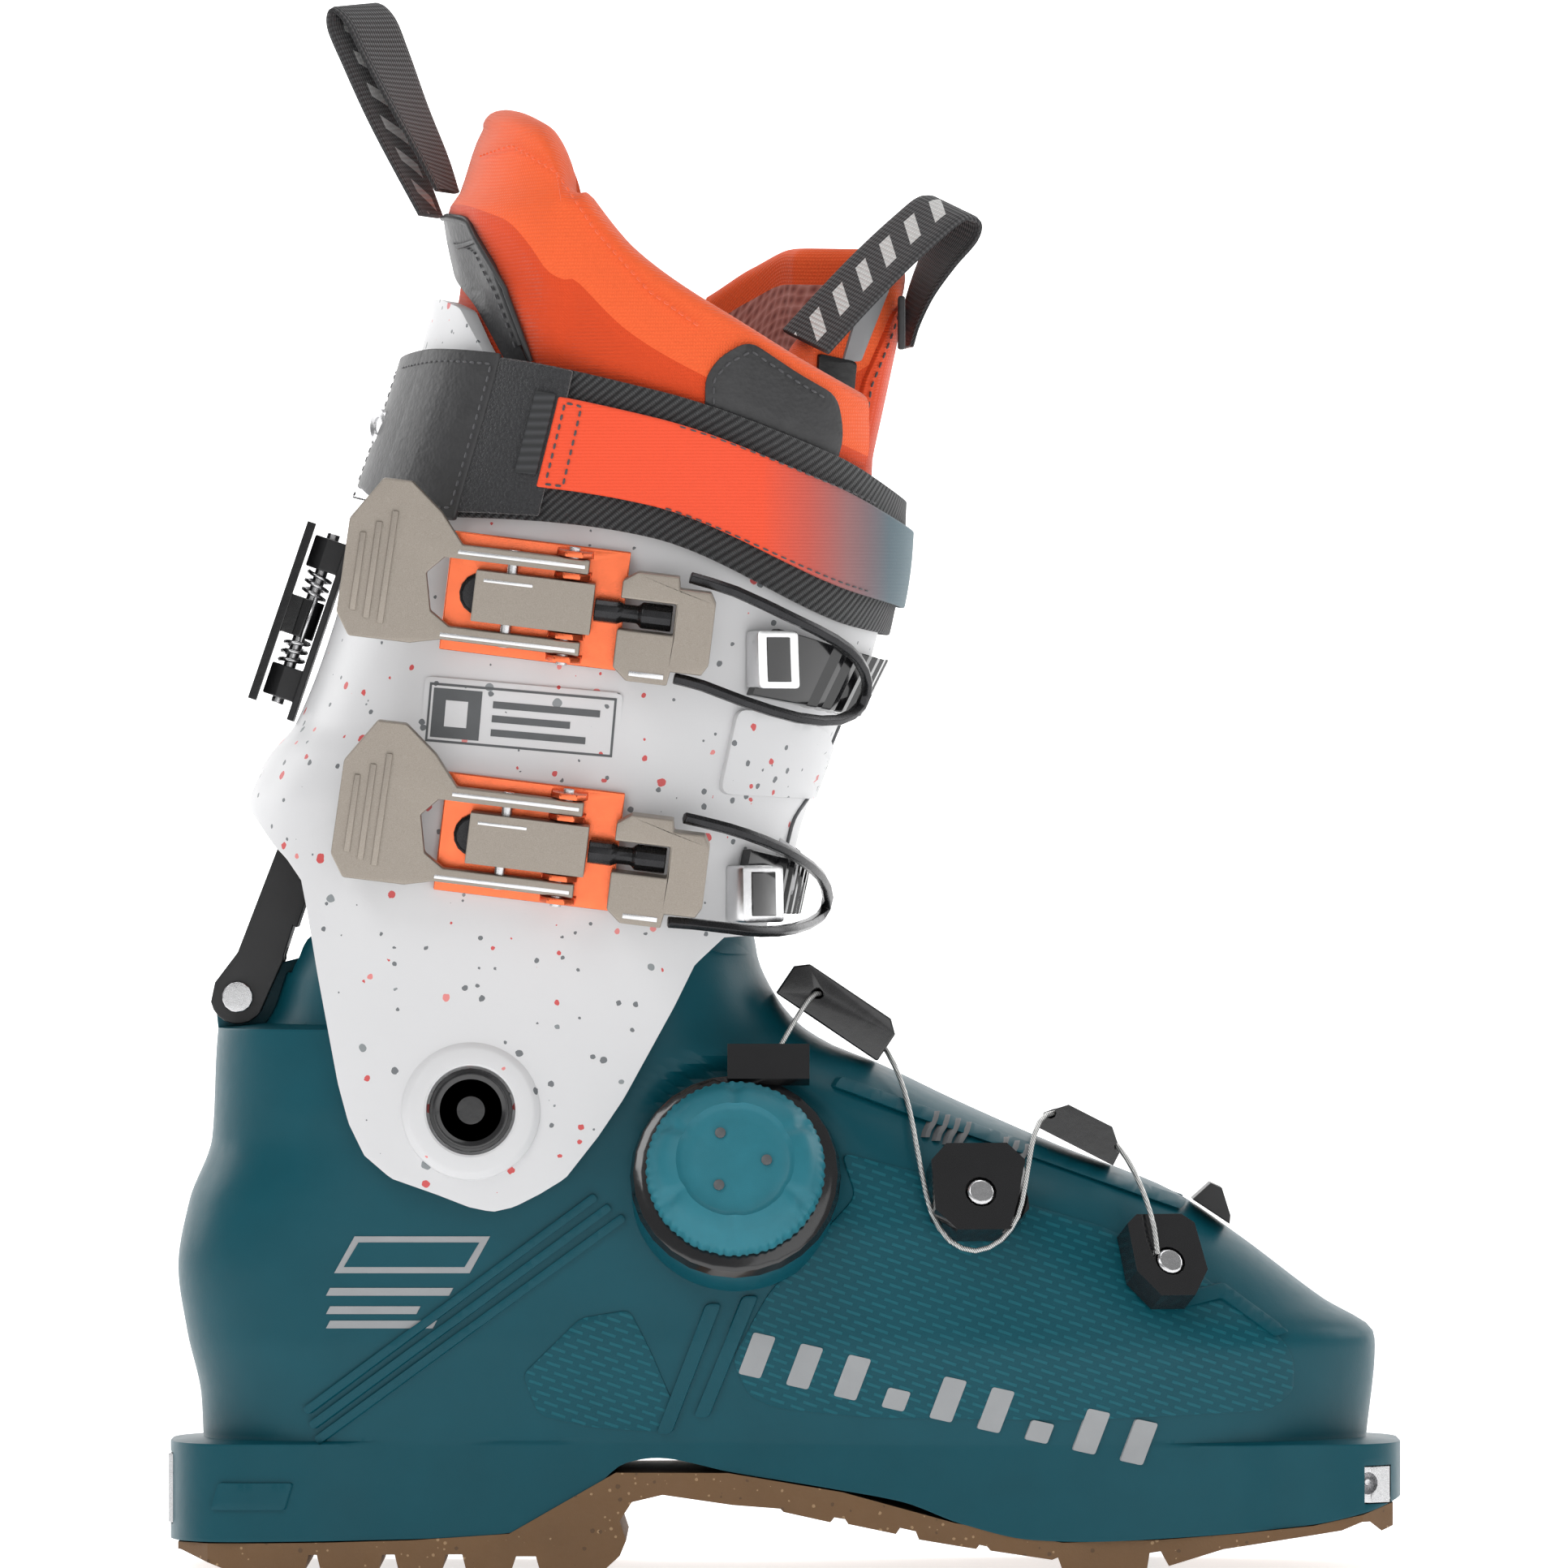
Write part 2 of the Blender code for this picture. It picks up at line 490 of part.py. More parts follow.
# ---------------------------------------------------------------- cuff and what it carries
def cuff():
    turns = steps(0, 2, 34)[:-1]
    levels = [(z - 80) / 236 for z in (80, 130, 150, 166, 181, 190, 199, 207.6, 226, 238, 250, 266, 290, 316)]
    wall = wrap("cuff", turns, lambda x: 80, lambda x: 316, -CUFF_WALL, 0, levels, WHITE, closed=True)
    wall.location = CUFF_PIVOT * MM
    for corner in wall.data.vertices:
        corner.co -= CUFF_PIVOT * MM
    for name, side in (("lateral", -1), ("medial", 1)):
        boss_frame = axis_frame((CUFF_PIVOT.x, side * 45.5, CUFF_PIVOT.z), (0, side, 0))
        boss = turned(f"pivot_boss_{name}", [(0, PIVOT_BOSS_RADIUS + 2), (4.8, PIVOT_BOSS_RADIUS)],
                      boss_frame, sides=28)
        boolean(wall, boss, "UNION")
        bolt_frame = axis_frame((CUFF_PIVOT.x, side * 41.6, CUFF_PIVOT.z), (0, side, 0))
        turned(f"pivot_bolt_{name}", [(0, PIVOT_CAP_RADIUS), (7.6, PIVOT_CAP_RADIUS)], bolt_frame,
               BLACK, 28)
    boolean(wall, prism("cuff_outline", CUFF_OUTLINE, -90, 90), "INTERSECT")
    hole = axis_frame(CUFF_PIVOT, (0, 1, 0))
    boolean(wall, turned("pivot_hole", [(-80, 10.9), (80, 10.9)], hole, sides=28))
    boolean(wall, block("link_notch", (-150, -14, 150), (-100, 14, 196)))
    boolean(wall, block("instep_relief", (-40, -24, 140), (40, 24, 173)))


def strap():
    def low(x):
        return table(STRAP_MIDDLE, x) - table(STRAP_HALF, x)

    def high(x):
        return table(STRAP_MIDDLE, x) + table(STRAP_HALF, x)

    def inner_edge(edge, margin):
        return lambda x: table(STRAP_MIDDLE, x) + (edge(x) - table(STRAP_MIDDLE, x)) * margin

    wrap("strap_elastic", steps(0, 2, 40)[:-1], inner_edge(low, 0.96), inner_edge(high, 0.96), 0.6, 2.2,
         (0, 0.3, 0.62, 1), WEBBING, closed=True)
    tab = steps(leg_turn(-200, 276), leg_turn(-72, 276), 8)
    wrap("strap_rear_tab", tab, low, high, 3.1, 4.8, (0, 1), BLACK)
    velcro = steps(leg_turn(-71, 276), leg_turn(-58, 276), 3)
    wrap("strap_velcro", velcro, inner_edge(low, 0.9), inner_edge(high, 0.95), 3.1, 4.3, (0, 1), WEBBING)
    band = steps(leg_turn(-57, 272), 1.3, 22)
    wrap("strap_band", band, inner_edge(low, 0.55), inner_edge(high, 0.6), 3.1, 4.5, (0, 1), ORANGE)


def liner():
    skin = CUFF_WALL + 1.2

    def foot(x):
        """The lower edge, clear of the shell's rim as the cuff turns."""
        return 176 - 0.25 * min(x + 60, 0)

    def face(turn, z, inset):
        """The liner's face, deep enough at the rear for the walk link, and full above the cuff."""
        free = clamp((z - table(CUFF_TOP, leg_point(turn, z).x) - 4.5) / 20)
        rearward = clamp((0.34 - min(turn, 2 - turn)) / 0.22) * clamp((262 - z) / 27)
        return leg_point(turn, z, -inset - (skin + LINK_ROOM * rearward) * (1 - free))

    turns = steps(-0.84, 0.84, 28)
    turns = [t + 2 if t < 0 else t for t in turns]
    rings = []
    for turn in turns:
        ring = []
        column = []
        for k in range(8):
            x = leg_point(turn, 330).x
            for _ in range(4):
                collar = table(CUFF_TOP, x) + 4
                below = foot(x) + (collar - foot(x)) * k / 4
                z = below if k < 5 else collar + (table(LINER_TOP, x) - collar) * (k - 4) / 3
                x = leg_point(turn, z, -skin).x
            column.append(z)
        ring += [face(turn, z, 0) for z in column]
        ring += [face(turn, z, LINER_THICKNESS) for z in reversed(column)]
        rings.append(ring)
    rings_solid("liner_upper", rings, ORANGE)

    rings = []
    for turn in steps(0.78, 1.42, 16):
        top = table(TONGUE_TOP, turn)
        levels = [188 + (top - 188) * k / 6 for k in range(7)]
        outer = []
        for z in levels:
            middle = -7.5 + 8 * clamp((z - 273) / 43)
            side = clamp((abs(turn - 1) - 0.08) / 0.07)
            outer.append((middle - 2.5 * clamp((262 - z) / 20)) * (1 - side) - (skin + 10) * side)
        ring = [leg_point(turn, z, d) for z, d in zip(levels, outer)]
        ring += [leg_point(turn, z, d - 7) for z, d in reversed(list(zip(levels, outer)))]
        rings.append(ring)
    rings_solid("tongue", rings, ORANGE)

    ribbon("pull_loop_rear", REAR_LOOP, 3, 20, 1.6, WEBBING)
    ribbon("pull_loop_front", FRONT_LOOP, 3, 20, 1.6, WEBBING)
    block("tongue_tag", (27.6, -25, 299), (29.4, -17, 312), BLACK)


# ---------------------------------------------------------------- buckles
def buckle_frame(pivot, surface):
    """x forward along the buckle, y outward from the cuff, z along the lever's pivot."""
    forward = Vector((cos(BUCKLE_TILT), 0, -sin(BUCKLE_TILT)))
    lean = (table(LEG_WIDTH, pivot.z + 15) - table(LEG_WIDTH, pivot.z - 15)) / 30
    outward = Vector((0, -1, -lean))
    outward = (outward - forward * outward.dot(forward)).normalized()
    up = outward.cross(forward)
    turn = Matrix((forward, outward, up)).transposed().to_4x4()
    return Matrix.Translation(Vector((pivot.x, -surface, pivot.z))) @ turn


def along_z(frame, x, y, z=0.0):
    """A frame for a pin that lies along the buckle's z."""
    return frame @ axis_frame((x, y, z), (0, 0, 1), up=(1, 0, 0))


def buckle(name, pivot, bail_route, ladder_range, ladder_heights):
    surface = table(LEG_WIDTH, pivot.z) + GAP
    frame = buckle_frame(pivot, surface)
    pivot_at = frame @ Vector((0, PIVOT_OUT, 0))
    link_at = frame @ Vector((LINK_BACK, PIVOT_OUT, 0))

    base = block(f"{name}_base", (-30, 0, -14.5), (13.5, 2, 14.5), ORANGE_METAL, frame)
    for low in (-13.6, -8.0, 6.7, 12.0):
        ear = [(-4, 1), (4.5, 1), (4.5, 8.5), (2, 11.6), (-2, 11.6), (-4, 8.5)]
        points = [(x, y) for x, y in ear]
        side = prism(f"{name}_ear_{low}", points, -(low + 1.5), -low, ORANGE_METAL, frame @ STAND)
        boolean(base, side, "UNION")
    screw_frame = frame @ axis_frame((-21.5, 0, 0), (0, 1, 0))
    boolean(base, turned(f"{name}_screw_bore", [(-2, 2.9), (5, 2.9)], screw_frame, sides=14))
    turned(f"{name}_base_screw", [(0.3, 2.5), (2.35, 2.5), (2.35, 5.2), (3.6, 5.2), (4.2, 4.4)],
           screw_frame, BLACK, 16)

    outline = [(-52, -13.4), (-37, -13.4), (-30, -11.7), (4, -11.7), (4, -8.3), (-28, -8.3), (-33, -5),
               (-35, 4), (-31, 8.3), (4, 8.3), (4, 11.7), (-27, 11.7), (-33, 19), (-41, 25.5),
               (-48, 25.5), (-55, 15), (-55.5, -8)]
    lever = prism(f"{name}_lever", outline, 5.8, 10.6, BEIGE, frame, pivot_at)
    boolean(lever, turned(f"{name}_pivot_bore", [(-30, 1.8), (30, 1.8)],
                          along_z(frame, 0, PIVOT_OUT), sides=12))
    boolean(lever, turned(f"{name}_link_bore", [(-12.5, 1.8), (12.5, 1.8)],
                          along_z(frame, LINK_BACK, PIVOT_OUT), sides=12))
    boolean(base, turned(f"{name}_ear_bore", [(-30, 1.8), (30, 1.8)],
                         along_z(frame, 0, PIVOT_OUT), sides=12))
    for side, word in ((-1, "low"), (1, "high")):
        turned(f"{name}_pivot_pin_{word}", [(side * 6.5, 1.4), (side * 14.4, 1.4)],
               along_z(frame, 0, PIVOT_OUT), STEEL, 12)
    turned(f"{name}_link_pin", [(-11.9, 1.4), (11.9, 1.4)], along_z(frame, LINK_BACK, PIVOT_OUT), STEEL,
           12, pivot_at)

    centre = block(f"{name}_link_block", (-23, 4.9, -6.2), (6, 12.4, 6.2), BEIGE, frame, link_at)
    boolean(centre, turned(f"{name}_block_bore", [(-9, 1.8), (9, 1.8)],
                           along_z(frame, LINK_BACK, PIVOT_OUT), sides=12))
    rod_frame = frame @ axis_frame((0, 8.6, 0), (1, 0, 0))
    turned(f"{name}_adjust_rod", [(6.4, 2.9), (12, 2.9), (13.5, 2.2), (17, 2.2), (18, 3.2), (25.3, 3.2)],
           rod_frame, BLACK, 12, link_at)
    yoke = [(12.5, -13), (16, -16), (26, -16), (26.5, -12.6), (34, -12.6), (35.5, -10), (35.5, 5),
            (34, 7.6), (26.5, 7.6), (26, 10.5), (16, 10.5), (12.5, 8), (12.5, 3.8), (26, 3.8),
            (26, -3.8), (12.5, -3.8)]
    prism(f"{name}_yoke", yoke, 4.2, 13.6, BEIGE, frame, link_at)

    path = []
    for x, z, lift in bail_route:
        path.append(Vector((x, -leg_half(x, z, lift), z)))
    wire(f"{name}_bail", smooth_path(path, 2), 1.5, SATIN_BLACK, 6, path[0])

    start = leg_turn(ladder_range[0], pivot.z - 18)
    turns = steps(start, ladder_range[1], 28)
    low, high = ladder_heights

    def teeth(place):
        return 3.0 if place < 9 or place % 3 == 0 else 4.6

    wrap(f"{name}_ladder", turns, lambda x: table(low, x), lambda x: table(high, x), 0.5, teeth, (0, 1),
         BLACK)


def buckles():
    upper_bail = [(-23, 242.4, 9.5), (-12, 239, 9.5), (2, 232.5, 9), (12, 227.5, 8.5), (17.5, 223, 8.5),
                  (20, 217.5, 8.5), (18.5, 211.5, 8.5), (13, 208, 8.5), (3, 208.5, 9), (-10, 212.4, 9.5),
                  (-20, 216.2, 9.5), (-27, 218, 9.5)]
    buckle("upper_buckle", UPPER_BUCKLE, upper_bail, (-8, 1.0),
           ([(-8, 214), (24, 208)], [(-8, 232), (24, 223)]))
    lower_bail = [(-24.5, 184.2, 9.5), (-14, 181.6, 9.5), (-5, 178.5, 9), (3, 174.5, 8.5), (8.5, 170, 8.5),
                  (10.5, 164.5, 8.5), (8.5, 159.5, 8.5), (2, 157, 8.5), (-6, 156.5, 9), (-14, 157.4, 9.5),
                  (-22, 158.4, 9.5), (-28.5, 158.9, 9.5)]
    buckle("lower_buckle", LOWER_BUCKLE, lower_bail, (-14, 1.0),
           ([(-14, 161.5), (10, 160)], [(-14, 178), (10, 172)]))


# ---------------------------------------------------------------- walk lock
def spine_frame():
    """x outward to the rear, y across, z up along the spine."""
    outward = Vector((-cos(SPINE_TILT), 0, sin(SPINE_TILT)))
    up = Vector((sin(SPINE_TILT), 0, cos(SPINE_TILT)))
    across = up.cross(outward)
    turn = Matrix((outward, across, up)).transposed().to_4x4()
    return Matrix.Translation(SPINE_BASE) @ turn


def walk_lock():
    frame = spine_frame()
    axle = frame @ axis_frame((AXLE_OUT, 0, 0), (0, 0, 1), up=(1, 0, 0))
    base = block("walk_base", (0.8, -7, -25), (2.4, 7, 25), BLACK, frame)
    for name, low, high in (("upper", 12.5, 20.5), ("lower", -20.5, -12.5)):
        outline = [(1.5, -4.6), (7, -4.6), (10.4, -2), (10.4, 2), (7, 4.6), (1.5, 4.6)]
        boolean(base, prism(f"knuckle_{name}", outline, -high, -low, BLACK, frame @ STAND), "UNION")
    boolean(base, turned("axle_bore", [(-30, 2.0), (30, 2.0)], axle, sides=12))
    turned("walk_axle", [(-22, 1.6), (22, 1.6)], axle, STEEL, 12)

    lever = turned("walk_lever", [(-4.8, 3.4), (4.8, 3.4)], axle, BLACK, 14,
                   frame @ Vector((AXLE_OUT, 0, 0)))
    boolean(lever, block("lever_web", (AXLE_OUT + 1.9, -3, -4.8), (11.2, 3, 4.8), BLACK, frame), "UNION")
    boolean(lever, block("lever_plate", (11, -6, -23), (13.2, 6, 23), BLACK, frame), "UNION")
    boolean(lever, turned("lever_bore", [(-9, 2.0), (9, 2.0)], axle, sides=12))

    coil = []
    for k in range(21):
        angle = 2 * pi * k / 8
        coil.append(Vector((AXLE_OUT + 2.9 * cos(angle), 2.9 * sin(angle), 11.4 - 5.6 * k / 20)))
    bridge = [Vector((AXLE_OUT - 1, y, z)) for y, z in ((5.6, 5.4), (5.9, 0), (5.6, -5.4))]
    mirrored = [Vector((p.x, p.y, -p.z)) for p in reversed(coil)]
    wire("walk_spring", [frame @ p for p in coil + bridge + mirrored], 0.55, STEEL, 5)

    link = arc_points(0, 0, 6.7, 190, 330, 8) + [(9, 4), (13.5, 14), (16.8, 24), (17.6, 32), (27.5, 60)]
    link += [(21, 62.5), (9.6, 36), (0, 11), (-5.6, 3.6)]
    link = [(x + LINK_PIVOT.x, z + LINK_PIVOT.z) for x, z in link]
    bar = prism("walk_link", link, -11, 11, BLACK, origin=LINK_PIVOT)
    boolean(bar, block("fork_slot", (-150, -5.2, 120), (-119.5, 5.2, 152)))
    pin = axis_frame(LINK_PIVOT, (0, -1, 0))
    boolean(bar, turned("link_bore", [(-20, 2.4), (20, 2.4)], pin, sides=14))
    window = [(-122.3, 146), (-119.6, 147), (-119.4, 156.5), (-121, 157.6), (-123.4, 150)]
    boolean(bar, prism("link_window", window, -20, 20))
    turned("walk_link_rivet", [(-12.6, 3.8), (-11.3, 3.8), (-11.3, 2), (11.3, 2), (11.3, 3.8), (12.6, 3.8)],
           pin, STEEL, 14)


# ---------------------------------------------------------------- lace dial and lace
LACE = [(-4.4, -46.2, 121.5), (-2.8, -45, 125.5), (0.2, -42.4, 131), (4, -35, 137.2), (7.4, -24, 141),
        (11, -13.5, 139.8), (17, -11, 135.4), (23, -15, 129.6), (26.8, -22, 123.4), (29.2, -30, 117),
        (30.8, -38.8, 110.6), (32, -44, 104), (33.6, -48.8, 96), (35.6, -52.5, 88), (40, -54.8, 81.4),
        (46.2, -55.2, 79), (52.4, -54.8, 81.6), (56.6, -53, 87.4), (58.2, -50, 94), (59.4, -46, 100.6),
        (61, -37, 107.4), (64, -26, 111.4), (70, -17, 111.4), (77, -17, 107.6), (82, -24, 103),
        (85.4, -33, 97.4), (88, -41, 91), (89.8, -46, 84.4), (90.6, -48, 78)]


def lace():
    def cable(name, radius, resolution):
        curve = bpy.data.curves.new(name, "CURVE")
        curve.dimensions = "3D"
        curve.bevel_depth = radius * MM
        curve.bevel_resolution = resolution
        curve.use_fill_caps = True
        spline = curve.splines.new("POLY")
        path = smooth_path(LACE, 2)
        spline.points.add(len(path) - 1)
        for point, place in zip(spline.points, path):
            point.co = (*(place * MM), 1)
        made = bpy.data.objects.new(name, curve)
        made.parent = midplane
        bpy.context.collection.objects.link(made)
        curve.materials.append(STEEL)
        return made

    cable("lace_cable", LACE_RADIUS, 2)
    return wire("lace_channel", smooth_path(LACE, 2), LACE_RADIUS + 0.6, BLACK, 8)


def surface_frame(x, z, lift):
    """A frame on the shell's outer flank, y outward."""
    dx = (shell_half(x + 2, z) - shell_half(x - 2, z)) / 4
    dz = (shell_half(x, z + 2) - shell_half(x, z - 2)) / 4
    normal = Vector((-dx, -1, -dz)).normalized()
    return axis_frame(Vector((x, -shell_half(x, z), z)) + normal * lift, normal)


def slope_frame(x, y, z, angle):
    """A frame on the instep: x down the slope, z away from it."""
    return Matrix.Translation((x, y, z)) @ Matrix.Rotation(radians(angle), 4, "Y")


def dial_and_guides(channel):
    cup = [(0.4, 0), (0.4, DIAL_RING_RADIUS - 1), (3, DIAL_RING_RADIUS), (5.6, DIAL_RING_RADIUS - 0.8),
           (6.6, DIAL_RING_RADIUS - 3), (6.6, 17), (1.6, 17), (1.6, 0)]
    base = turned("dial_base", [(a, max(r, 0.01)) for a, r in cup], dial_frame(), BLACK, 28)
    ear = block("dial_ear", (-18, 4.6, 22.6), (2, 10.4, 31.5), BLACK, dial_frame())
    boolean(base, ear, "UNION")
    ring = [(1.9, 5.2), (1.9, 15.8), (2.7, 15.8), (3.4, 14), (4.4, 14), (5.2, 15.8), (5.9, 15.8), (5.9, 5.2)]
    turned_ring("dial_spool", ring, dial_frame(), BLACK, 18, DIAL_CENTRE)
    turned("dial_hub", [(1.9, 4.8), (8.8, 4.8), (8.8, 9), (12, 9)], dial_frame(), BLACK, 20, DIAL_CENTRE)
    knob = [(13.2, 0.01), (13.2, 11.5), (7, 11.5), (7, 20.6), (8.2, DIAL_KNOB_RADIUS),
            (12.5, DIAL_KNOB_RADIUS - 0.4), (16.5, 18.6), (18.4, 14.2), (18.4, 0.01)]
    turned("dial_knob", knob, dial_frame(), DIAL_TEAL, 26, DIAL_CENTRE)

    upper = slope_frame(12.9, -13, 136.9, 34)
    outline = [(-15, -5), (15, -5), (15, 3), (12, 5.6), (-12, 5.6), (-15, 3)]
    guide_upper = prism("guide_upper", outline, -9, 10, BLACK, upper)
    ridge = slope_frame(72.8, -14, 107.2, 27)
    outline = [(-10.5, -4), (10.5, -4), (10.5, 0), (6, 4.4), (-6, 4.4), (-10.5, 0)]
    guide_ridge = prism("guide_ridge", outline, -10, 10, BLACK, ridge)
    side = surface_frame(46.1, 91.2, 0)
    outline = [(-11.6, -6), (-6.5, -11.4), (6.5, -11.4), (11.6, -6), (11.6, 7), (7.5, 11.4), (-7.5, 11.4),
               (-11.6, 7)]
    guide_side = prism("guide_side", outline, 0.8, 8.4, BLACK, side)
    anchor = surface_frame(90.7, 73.6, 0)
    outline = [(-9.5, -4), (-4.5, -11), (4.5, -11), (9.5, -4), (9, 9), (6, 11.5), (-6, 11.5), (-9, 9)]
    lace_anchor = prism("lace_anchor", outline, 0.8, 8, BLACK, anchor)
    for target in (base, guide_upper, guide_ridge, guide_side, lace_anchor):
        boolean(target, channel)
    for name, target, frame, top in (("guide_side_screw", guide_side, side, 8.4),
                                     ("lace_anchor_screw", lace_anchor, anchor, 8.0)):
        spot = frame @ Matrix.Translation((0, 0, -1.5))
        boolean(target, turned(f"{name}_bore", [(top - 4, 3.9), (top + 3, 3.9)], spot, sides=16))
        turned(name, [(top - 3.6, 3.4), (top - 0.2, 3.4), (top + 0.4, 2.8)], spot, STEEL, 16)
    stop = slope_frame(104.2, -10, 86.9, 33.5)
    outline = [(-5.5, 0.6), (5.5, 0.6), (4.5, 2.5), (-1, 7), (-4, 6.5)]
    prism("flap_stop", outline, -8, 8, BLACK, stop)


lower_shell()
sole_parts()
inside_parts()
cuff()
strap()
liner()
buckles()
walk_lock()
dial_and_guides(lace())
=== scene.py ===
import json
from math import acos, cos, pi, radians, sin, sqrt

import bmesh
import bpy
import numpy as np
from mathutils import Matrix, Vector
from mathutils.geometry import delaunay_2d_cdt

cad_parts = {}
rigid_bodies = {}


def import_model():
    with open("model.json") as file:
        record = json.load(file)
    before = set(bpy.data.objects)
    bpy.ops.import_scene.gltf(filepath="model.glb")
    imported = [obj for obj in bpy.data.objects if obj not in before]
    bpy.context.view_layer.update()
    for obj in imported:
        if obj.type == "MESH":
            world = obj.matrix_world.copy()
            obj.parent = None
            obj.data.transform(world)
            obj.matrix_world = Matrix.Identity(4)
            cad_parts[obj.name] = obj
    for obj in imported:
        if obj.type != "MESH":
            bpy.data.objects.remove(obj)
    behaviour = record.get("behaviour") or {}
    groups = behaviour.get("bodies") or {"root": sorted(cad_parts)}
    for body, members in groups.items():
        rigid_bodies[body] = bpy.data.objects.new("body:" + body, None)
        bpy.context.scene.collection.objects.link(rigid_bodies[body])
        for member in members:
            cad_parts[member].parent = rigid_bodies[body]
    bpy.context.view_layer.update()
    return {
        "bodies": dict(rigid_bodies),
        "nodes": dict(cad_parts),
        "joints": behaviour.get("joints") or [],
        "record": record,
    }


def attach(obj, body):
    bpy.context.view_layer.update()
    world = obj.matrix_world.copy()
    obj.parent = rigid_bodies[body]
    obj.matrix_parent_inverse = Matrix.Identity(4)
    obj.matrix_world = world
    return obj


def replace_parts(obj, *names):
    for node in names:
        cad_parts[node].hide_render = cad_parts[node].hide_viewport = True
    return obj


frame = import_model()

NODES = frame["nodes"]
MM = 0.001
WELD = 0.000002  # points this near are one, in metres
MID_Y = 4.73  # the boot's middle plane; every shape below is in millimetres from it

# ---------------------------------------------------------------- camera, light and floor
VIEW_HEIGHT = 192.4
FIELD = 386.4
DISTANCE = 3500


def studio():
    scene = bpy.context.scene
    scene.view_settings.view_transform = "Standard"
    camera = bpy.data.objects.new("camera", bpy.data.cameras.new("camera"))
    scene.collection.objects.link(camera)
    camera.location = (-0.3 * MM, -DISTANCE * MM, VIEW_HEIGHT * MM)
    camera.rotation_euler = (radians(90), 0, 0)
    camera.data.sensor_width = 36
    camera.data.lens = 36 * DISTANCE / FIELD
    camera.data.clip_end = 30
    scene.camera = camera

    for name, corners, glow in (("floor", [(-9, -9, 0), (9, -9, 0), (9, 9, 0), (-9, 9, 0)], 0.7),
                                ("backdrop", [(-9, 9, 0), (9, 9, 0), (9, 9, 12), (-9, 9, 12)], 1.0)):
        mesh = bpy.data.meshes.new(name)
        mesh.from_pydata([(x, y, z - 0.0004) for x, y, z in corners], [], [(0, 1, 2, 3)])
        sheet = bpy.data.objects.new(name, mesh)
        scene.collection.objects.link(sheet)
        pale = bpy.data.materials.new(name)
        pale.use_nodes = True
        shader = pale.node_tree.nodes["Principled BSDF"]
        shader.inputs["Base Color"].default_value = (0.93, 0.93, 0.93, 1)
        shader.inputs["Roughness"].default_value = 0.9
        shader.inputs["Emission Color"].default_value = (1, 1, 1, 1)
        shader.inputs["Emission Strength"].default_value = glow
        mesh.materials.append(pale)

    for name, place, aim, size, power in (
        ("key", (-1.5, -2.0, 2.3), (0, 0, 0.2), 1.3, 23),
        ("front", (0.9, -3.0, 0.9), (0, 0, 0.15), 1.6, 9),
        ("top", (0.2, 0.1, 2.2), (0, 0, 0.2), 1.4, 13),
        ("rear_left", (-2.0, 1.2, 0.9), (0, 0, 0.2), 1.2, 12),
        ("rear_right", (2.1, 0.9, 1.1), (0, 0, 0.2), 1.2, 13),
    ):
        data = bpy.data.lights.new(name, "AREA")
        data.size = size
        data.energy = power
        lamp = bpy.data.objects.new(name, data)
        lamp.location = place
        lamp.rotation_euler = (Vector(aim) - Vector(place)).to_track_quat("-Z", "Y").to_euler()
        scene.collection.objects.link(lamp)
    world = bpy.data.worlds.new("studio")
    scene.world = world
    world.use_nodes = True
    world.node_tree.nodes["Background"].inputs["Color"].default_value = (1, 1, 1, 1)
    world.node_tree.nodes["Background"].inputs["Strength"].default_value = 0.3


